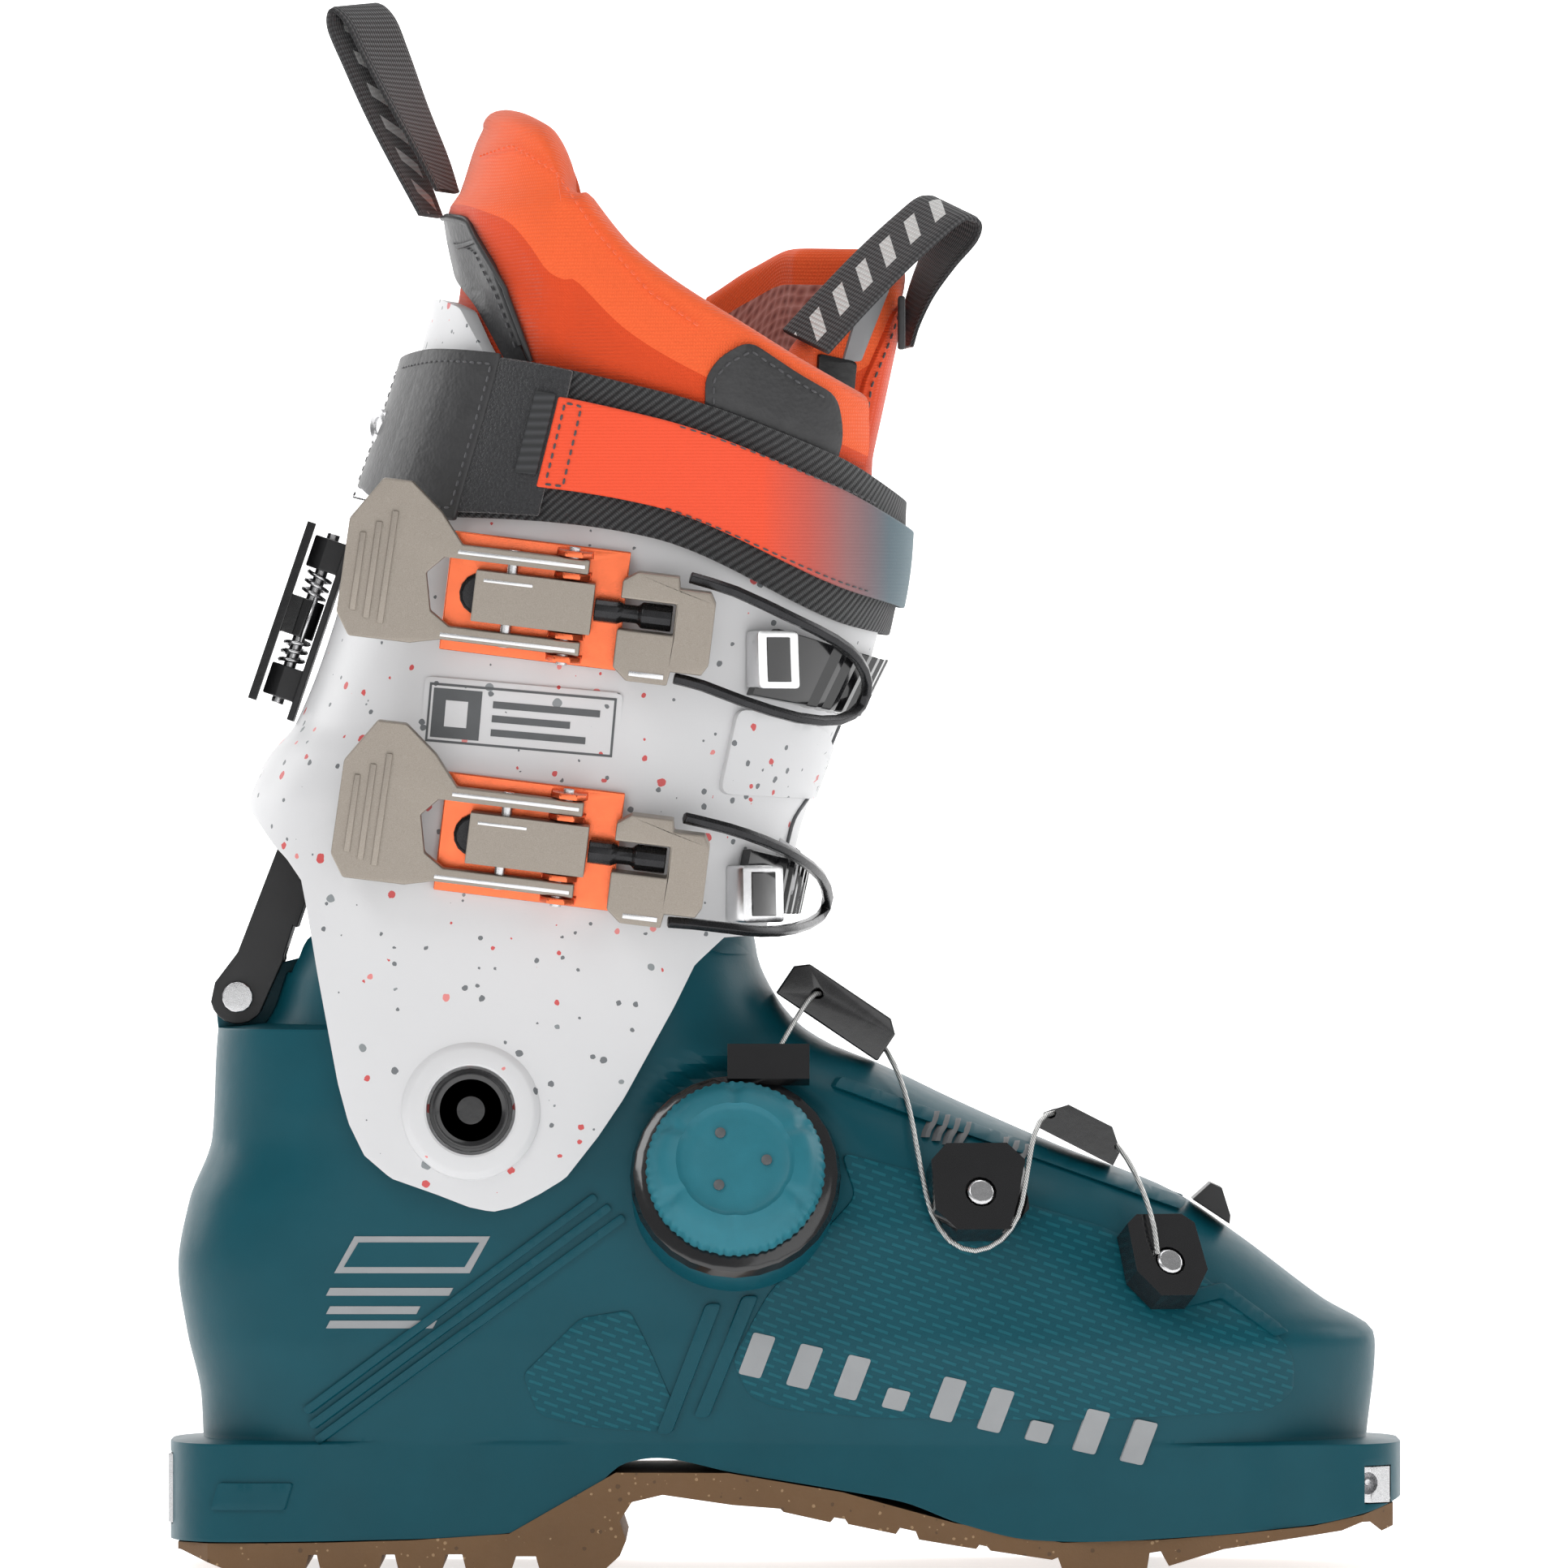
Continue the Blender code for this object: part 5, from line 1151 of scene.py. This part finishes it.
def cuff_details(m):
    """The pad, the badge, the clips and the overlap's edge on the outer side."""
    pad = [(-16.7, 190), (-12, 211), (9, 206), (13.5, 192), (8, 188.6)]
    plate("cuff_pad", rounded(pad, 3), on_leg, m["white"], "cuff", 1.6, 0.8, 1.8, -0.2)

    def box(*ends):
        """A rectangle on the badge, which leans by 5 degrees."""
        angle = radians(-5)
        return [(x * cos(angle) - z * sin(angle) - 64.2, x * sin(angle) + z * cos(angle) + 208)
                for x, z in rectangle(*ends)]
    for name, outline, finish, *sizes in (
        ("badge", rounded(box(-24.2, -8.6, 24.2, 8.6), 1.6), "white", 0.7, 0.3, 1.8, -0.75),
        ("badge_frame", box(-22.8, -7.2, 22.8, 7.2), "dark_print", 0.12, 0, 1.8, -0.05),
        ("badge_field", box(-22.2, -6.6, 22.2, 6.6), "white", 0.2, 0, 1.8, -0.05),
        ("badge_square", box(-21.6, -6, -9.8, 6), "dark_print", 0.3, 0, 1.8, -0.05),
        ("badge_line_0", box(-7, 2.2, 19, 3.9), "dark_print", 0.3, 0, 1.6, -0.05),
        ("badge_line_1", box(-7, -1.2, 12, 0.5), "dark_print", 0.3, 0, 1.6, -0.05),
        ("badge_line_2", box(-7, -4.6, 16, -2.9), "dark_print", 0.3, 0, 1.6, -0.05),
        ("badge_mark", box(-18.4, -3.2, -13, 3.2), "white", 0.4, 0, 1.6, -0.05),
    ):
        plate(name, outline, on_leg, m[finish], "cuff", *sizes)

    for name, (dx, dz) in CLIPS.items():
        clip = rectangle(-9.5 + dx, 215.6 + dz, -0.5 + dx, 229.6 + dz)
        plate(f"{name}_clip", rounded(clip, 1), on_leg, m["milled"], "cuff", 5.4, 0.6, 2, 0.2)
        mouth = rectangle(-7.6 + dx, 217.2 + dz, -2.4 + dx, 228 + dz)
        plate(f"{name}_clip_mouth", mouth, on_leg, m["gloss"], "cuff", 5.6, 0.2, 2, 0.3)
    seam = along(on_leg, [(22, 207), (10, 196), (2, 184), (-2, 170), (-3, 158)], 0.2)
    tube("cuff_overlap_edge", smooth_path(seam[::3], 3), 0.55, m["dark_print"], "cuff")


def along(place, chain, lift):
    """The chain laid on a surface, with a point every 2 mm or so."""
    return [place(x, z, lift) for x, z in dense(chain, 2)]


# ---------------------------------------------------------------- liner, tongue and strap
def liner_face(turn, z, inset):
    """A point of the liner's outer face: inside the cuff, and free above its top."""
    free = clamp((z - table(CUFF_TOP, leg_point(turn, z).x) - 4.5) / 20)
    rearward = clamp((0.34 - min(turn, 2 - turn)) / 0.22) * clamp((262 - z) / 27)
    return leg_point(turn, z, -inset - (LINER_ROOM + REAR_ROOM * rearward) * (1 - free))


def on_liner(x, z, lift):
    return liner_face(leg_turn(x, z), z, -lift)


def liner(m):
    rows = []
    for turn in steps(-0.84, 0.84, 150):
        turn = turn + 2 if turn < 0 else turn
        x = leg_point(turn, 330).x
        for _ in range(4):
            foot = 176 - 0.3 * min(x + 60, 0) + 5 * clamp((-x - 85) / 25)
            top = table(LINER_TOP, x) - 4.2
            x = leg_point(turn, top, -LINER_ROOM).x
        ring = []
        for k in range(56):
            z = foot + (top - foot) * k / 55
            puff = 1.3 * sin(pi * clamp((top - z) / 30)) * (1 - clamp((top - z - 22) / 8))
            ring.append((liner_face(turn, z, 0.6 - puff * 0.6), 0 if top - z > 13 else 1))
        ring += rolled(liner_face(turn, top, 0.4), liner_face(turn, top, LINER_THICKNESS), 4.2)
        for k in range(40):
            z = top - (top - foot) * k / 39
            puff = 1.5 * sin(pi * clamp((top - z) / 26))
            ring.append((liner_face(turn, z, LINER_THICKNESS + puff * 0.5 - 0.4), 1 if top - z < 5 else 2))
        rows.append(ring)
    soft_part(m, "liner_cuff", rows, "liner_upper")

    collar = [(-86, 316), (-85, 333), (-78, 331), (-70, 318), (-65.5, 297.6), (-60, 285), (-62, 281),
              (-72, 296), (-80, 309)]
    plate("collar_patch", rounded(collar, 2), on_liner, m["grain"], "cuff", 1.0, 0.4, 1.8, -0.2)
    for k, gap in enumerate((0, 4)):
        chain = dense([(-84.5, 332 - gap), (-77, 329), (-70, 317), (-65.5, 299)], 2)
        path = [on_liner(x + gap * 0.6, z - gap, 1.0) for x, z in chain]
        tube(f"collar_piping_{k}", path, 0.7, m["grain"], "cuff")
    path = along(on_liner, [(-83, 325), (-77, 322), (-71.5, 312), (-67, 297)], 1.15)
    stitches("collar_stitch", path, m["thread"], "cuff")
    front = [(-19.5, 275), (-19.5, 291), (-16, 296), (-9, 300), (3, 292), (12, 287), (13.5, 280), (13, 268),
             (-5, 272)]
    plate("front_panel", rounded(front, 3), on_liner, m["grain"], "cuff", 1.0, 0.4, 1.8, -0.2)
    chain = [(-17.6, 277), (-17.6, 290.5), (-14, 294.5), (-8.6, 297.4), (2.5, 290), (10.5, 285.4)]
    stitches("front_panel_stitch", along(on_liner, chain, 1.15), m["thread"], "cuff")
    chain = [(-74, 346), (-66, 348), (-55, 341), (-46, 327), (-33, 312), (-19, 302)]
    stitches("rim_stitch", along(on_liner, chain, 0.9), m["rim_knit"], "cuff", 2.2, 0.3)


def rolled(out, back, height):
    """The rolled top between the two faces of a padded part, as rim knit."""
    middle, across = (out + back) / 2, (out - back) / 2
    return [(middle + across * cos(a) + Vector((0, 0, height)) * sin(a), 1) for a in steps(0, pi, 10)[1:-1]]


def soft_part(m, name, rows, node):
    """Rows of (point, material number) as a padded part in place of a CAD node."""
    kinds = [kind for _, kind in rows[0]]
    finish = [m["knit"], m["rim_knit"], m["lining"]]
    made = loft(name, [[p for p, _ in row] for row in rows], finish, "cuff", kinds=kinds)
    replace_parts(made, node)


def tongue_depth(turn, z):
    """How far the tongue's face lies from the cuff's: near it in front, and deep at the sides."""
    middle = -7.5 + 8 * clamp((z - 273) / 43) - 2.5 * clamp((262 - z) / 20)
    side = soft((abs(turn - 1) - 0.06) / 0.11)
    return middle * (1 - side) - TONGUE_ROOM * side


def on_tongue(x, z, lift):
    """x counts the turn from the front, in hundredths."""
    turn = 1 + x / 100
    return leg_point(turn, z, tongue_depth(turn, z) + lift - 0.2)


def tongue(m):
    rows = []
    for turn in steps(0.78, 1.42, 90):
        top = table(TONGUE_TOP, turn) - 3.6
        heights = [188 + (top - 188) * k / 49 for k in range(50)]
        outer = [(z, tongue_depth(turn, z)) for z in heights]
        ring = [(leg_point(turn, z, d - 0.2), 0 if top - z > 12 else 1) for z, d in outer]
        z, d = outer[-1]
        ring += rolled(leg_point(turn, z, d - 0.2), leg_point(turn, z, d - 7), 3.6)
        ring += [(leg_point(turn, z, d - 7), 1 if top - z < 4 else 2) for z, d in reversed(outer)]
        rows.append(ring)
    soft_part(m, "tongue_pad", rows, "tongue")

    shin = [(-9, 262), (9, 262), (10, 290), (7, 310), (-7, 310), (-10, 290)]
    plate("shin_plate", rounded(shin, 3), on_tongue, m["knit"], "cuff", 1.3, 0.5, 2, -0.2)
    panel = [(-16, 252), (-10, 252), (-11, 296), (-16, 298)]
    plate("stretch_panel", rounded(panel, 1), on_tongue, m["stretch"], "cuff", 0.9, 0.3, 1.6, -0.2)
    strip = [(-12.5, 296), (-10.5, 296), (-8.5, 314), (-11, 314)]
    plate("side_strip", rounded(strip, 0.6), on_tongue, m["grey_print"], "cuff", 0.8, 0.3, 1.4, -0.2)
    chain = [(-8.4, 264), (-9, 290), (-6.4, 308), (6.4, 308), (9, 290), (8.4, 264)]
    stitches("shin_stitch", along(on_tongue, chain, 1.25), m["thread"], "cuff")
    label = rectangle(27.6, 299, 29.4, 312)
    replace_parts(prism("tongue_label", label, -25, -17, m["grain"], "cuff", edge=0.6), "tongue_tag")


def pull_loops(m):
    """Webbing along a route of points, each with the direction of its width."""
    for name, route in (("rear_loop", REAR_LOOP), ("front_loop", FRONT_LOOP)):
        path = smooth_path([Vector(p) for p, _ in route], 8)
        sides = smooth_path([Vector(s) for _, s in route], 8)
        rings = []
        for k, (p, s) in enumerate(zip(path, sides)):
            ahead = (path[min(k + 1, len(path) - 1)] - path[max(k - 1, 0)]).normalized()
            across = s.normalized()
            normal = ahead.cross(across).normalized() * 0.8
            rings.append([p + across * w + normal * face * (1 if abs(w) < 9.4 else 0.5)
                          for face in (-1, 1) for w in steps(10 * face, -10 * face, 14)])
        made = loft(name, rings, m["webbing"], "cuff", 60)
        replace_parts(made, "pull_loop_" + name.split("_")[0])



def bootie(m):
    """The liner's foot and the insole, inside the shell."""
    skin = 6.1
    outer = [foot_ring(43.2, -skin)] + [foot_ring(z, -skin) for z in steps(46, 126.6, 30)]
    inner = [foot_ring(z, -skin - 8) for z in reversed(steps(51, 126.6, 30))]
    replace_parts(loft("liner_bootie", outer + inner, m["foam"], "shell"), "liner_foot")
    bed = [foot_ring(51.5, -skin - 15), foot_ring(53.4, -skin - 15), foot_ring(54, -skin - 16.5)]
    bed.append([Vector((p.x * 0.9, p.y * 0.8, 53.6)) for p in bed[-1]])
    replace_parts(loft("insole", bed, m["knit"], "shell"), "footbed")


def foot_ring(z, grow):
    """A level of the shell, moved inward where grow is below 0."""
    return [shell_point(t, z, grow) for t in steps(0, 2, 160)[:-1]]


def strap(m):
    def height(x, share):
        return table(STRAP_MIDDLE, x) + table(STRAP_HALF, x) * share

    def band(name, turns, low, high, inner, outer, finish, levels, edge=0.5, closed=False, wave=0.0):
        rows = []
        for k in range(levels + 1):
            share = low + (high - low) * k / levels
            row = []
            for turn in turns:
                x = leg_point(turn, 276).x
                for _ in range(3):
                    z = height(x, share)
                    x = leg_point(turn, z, outer).x
                ripple = wave * sin(turn * 40 + k * 0.5) * sin(pi * k / levels)
                row.append(leg_point(turn, z, outer + ripple))
            rows.append(row)
        return sheet_of(name, rows, m[finish], "cuff", outer - inner, edge, closed)

    def turns(x0, x1, count, z=276):
        return steps(leg_turn(x0, z), leg_turn(x1, z), count)
    around = steps(0, 2, 240)[:-1]
    elastic = band("power_strap", around, -0.96, 0.96, 0.6, 2.3, "twill", 30, 0.5, True, 0.12)
    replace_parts(elastic, "strap_elastic")
    back = steps(0.0, leg_turn(-72, 276), 60)
    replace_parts(band("strap_back_tab", back, -1, 1, 3.0, 4.8, "grain", 26, 0.7), "strap_rear_tab")
    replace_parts(band("strap_pile", turns(-73, -54, 40), -0.9, 0.95, 2.6, 4.2, "pile", 30), "strap_velcro")
    front = steps(leg_turn(-57, 272), 1.24, 110)
    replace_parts(band("strap_plate", front, -0.55, 0.6, 3.0, 4.5, "band", 20, 0.6), "strap_band")
    band("strap_side_label", turns(-62.5, -57.5, 8, 272), -0.4, 0.62, 4.2, 5.0, "lined", 16, 0.3)

    def on_strap(x, share, lift):
        return leg_point(leg_turn(x, 274), height(x, share), lift)
    for name, x0, x1, low, high, lift in (("back_tab", -100, -74, -0.84, 0.84, 4.9),
                                          ("band_end", -54.5, -50.5, -0.48, 0.52, 4.7)):
        spots = [(x, low) for x in steps(x0, x1, 12)] + [(x1, s) for s in steps(low, high, 12)[1:]]
        spots += [(x, high) for x in steps(x1, x0, 12)[1:]] + [(x0, s) for s in steps(high, low, 12)[1:]]
        stitches(f"{name}_stitch", [on_strap(*p, lift) for p in spots], m["thread"], "cuff", 2.4, 0.3)
    for k, share in enumerate((-0.5, 0.55)):
        path = [on_strap(x, share, 4.7) for x in steps(-27, 20, 30)]
        stitches(f"plate_stitch_{k}", path, m["thread"], "cuff", 2.6, 0.22)
    spot = on_strap(-97, 0.1, 4.8)
    ring = [(0, 4.4), (0.8, 4.2), (1.1, 3.2), (0.7, 2.2), (0.3, 2.0)]
    turned("strap_rivet", ring, axis_frame(spot, (spot.x * 0.02 + 0.2, -1, 0.1)), m["steel"], "cuff", 48)


# ---------------------------------------------------------------- dial, hardware and the CAD's own pieces
def dial(m):
    def facets(angle, step):
        """Fine ribs round the rim, and six finger notches over its top edge."""
        if step < 3:
            return 1.0
        if step < 9:
            return 1 + 0.008 * (1 if sin(angle * 60) > 0 else -1)
        dip = max(0.0, cos(angle * 6)) ** 6
        return 1 - 0.07 * dip * clamp((step - 8) / 2) * (1 if step < 14 else 0.3)
    profile = [(13.1, 11.4), (7.1, 11.4), (7.0, 20.4), (7.6, 21.2), (8.2, 21.6), (9.4, 21.7), (10.6, 21.6),
               (11.8, 21.4), (12.6, 21.1), (13.4, 20.4), (14.6, 19.6), (15.8, 18.8), (16.8, 17.6),
               (17.6, 15.8), (18.1, 14.4), (17.3, 13.6), (16.9, 12.8), (17.2, 10), (17.5, 5), (17.6, 0.5)]
    knob = turned("dial_cap", profile, dial_frame(), m["dial"], "dial_knob", 240, facets, 40)
    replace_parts(knob, "dial_knob")
    for k in range(3):
        angle = 2 * pi * k / 3 + 0.5
        centre = dial_frame(17.55) @ Vector((7.6 * sin(angle), 0, 7.6 * cos(angle)))
        dot = [(0, 1.3), (0.5, 1.3), (0.6, 1.1)]
        turned(f"dial_dot_{k}", dot, axis_frame(centre, DIAL_AXIS), m["dark_print"], "dial_knob", 24)


def hardware(m):
    """Finishes and edges of the CAD's own pieces, and the faces of the pivot bolts."""
    steel = ("walk_axle", "walk_link_rivet", "toe_insert", "heel_insert", "heel_insert_screw",
             "guide_side_screw", "lace_anchor_screw")
    glossy = ("guide_side", "lace_anchor", "guide_upper", "guide_ridge", "dial_base",
              "pivot_bolt_lateral", "pivot_bolt_medial", "walk_lever")
    named = {"outsole": ("gum", 0.5), "lace_cable": ("lace", 0), "walk_spring": ("steel", 0)}
    named.update({name: ("steel", 0.25) for name in steel})
    named.update({name: ("gloss", 0.5) for name in glossy})
    for name in NODES:
        if "lever" in name and "buckle" in name or name.endswith(("_yoke", "_link_block")):
            finish, edge = "blasted", 0.6
        elif name.endswith("_base") and "buckle" in name:
            finish, edge = "orange_metal", 0.35
        elif name.endswith(("_bail", "_adjust_rod", "_base_screw")):
            finish, edge = "anodised", 0.25
        elif name.endswith("_ladder"):
            finish, edge = "gloss", 0.3
        elif name in named:
            finish, edge = named[name]
        elif "pin" in name:
            finish, edge = "steel", 0.25
        else:
            finish, edge = "nylon", 0.35
        finish_node(name, m[finish], edge)
    cap = [(49.0, 9.4), (49.35, 9.2), (49.45, 8.2), (49.2, 7.6), (49.2, 3.4), (48.6, 3.0), (48.4, 2.6)]
    for side, word in SIDES:
        turned(f"bolt_face_{word}", cap, pivot_frame(side), m["gloss"], "shell", 64)


def buckle_frame(pivot):
    """A buckle's frame: x forward along it, y outward from the cuff, z along the lever's pivot."""
    forward = Vector((cos(BUCKLE_TILT), 0, -sin(BUCKLE_TILT)))
    lean = (table(LEG_WIDTH, pivot.z + 15) - table(LEG_WIDTH, pivot.z - 15)) / 30
    outward = Vector((0, -1, -lean))
    outward = (outward - forward * outward.dot(forward)).normalized()
    turn = Matrix((forward, outward, outward.cross(forward))).transposed().to_4x4()
    centre = Vector((pivot.x, -table(LEG_WIDTH, pivot.z) - 0.4, pivot.z))
    return Matrix.Translation(centre) @ turn


def lever_details(m):
    """Bright metal strips along the edges, partly milled edges and partly painted highlight, and raised ribs
    on both levers, yokes and adjusting rods.
    """
    lever = [  # name, finish, low and high side, outline
        # The bright strips along the arms, the yoke and the block are painted highlight on the edges, as well
        # as milled metal.
        ("arm_low_highlight", "milled", 10.5, 10.75, rectangle(-30, -10.9, 3, -9.9)),
        ("arm_high_highlight", "milled", 10.5, 10.75, rectangle(-28, 9.5, 3, 10.5)),
        ("handle_rib", "blasted", 10.4, 11.3, [(-52.5, -7), (-51, -7), (-50.6, 12), (-52, 12)]),
        ("handle_rib_b", "blasted", 10.4, 11.3, [(-49, -8.5), (-47.5, -8.5), (-47, 15), (-48.5, 15)]),
        ("handle_rib_c", "blasted", 10.4, 11.3, [(-45.5, -9.5), (-44, -9.5), (-43.4, 18), (-44.9, 18)]),
    ]
    yoke = [
        ("yoke_rib", "milled", 13.4, 14, rectangle(16.5, -14.6, 25, -13.4)),
        ("block_line", "milled", 12.3, 12.6, rectangle(-21, 3.6, -9, 4.4)),
    ]
    for word, pivot in BUCKLES.items():
        frame = buckle_frame(pivot)
        for body, pieces in ((f"{word}_lever", lever), (f"{word}_yoke", yoke)):
            for name, finish, low, high, outline in pieces:
                prism(f"{word}_{name}", outline, low, high, m[finish], body, frame, 0.15)


studio()
materials = make_materials()
for build in (lower_shell, shell_details, cuff, cuff_details, liner, tongue, pull_loops, bootie, strap, dial,
              hardware, lever_details):
    build(materials)
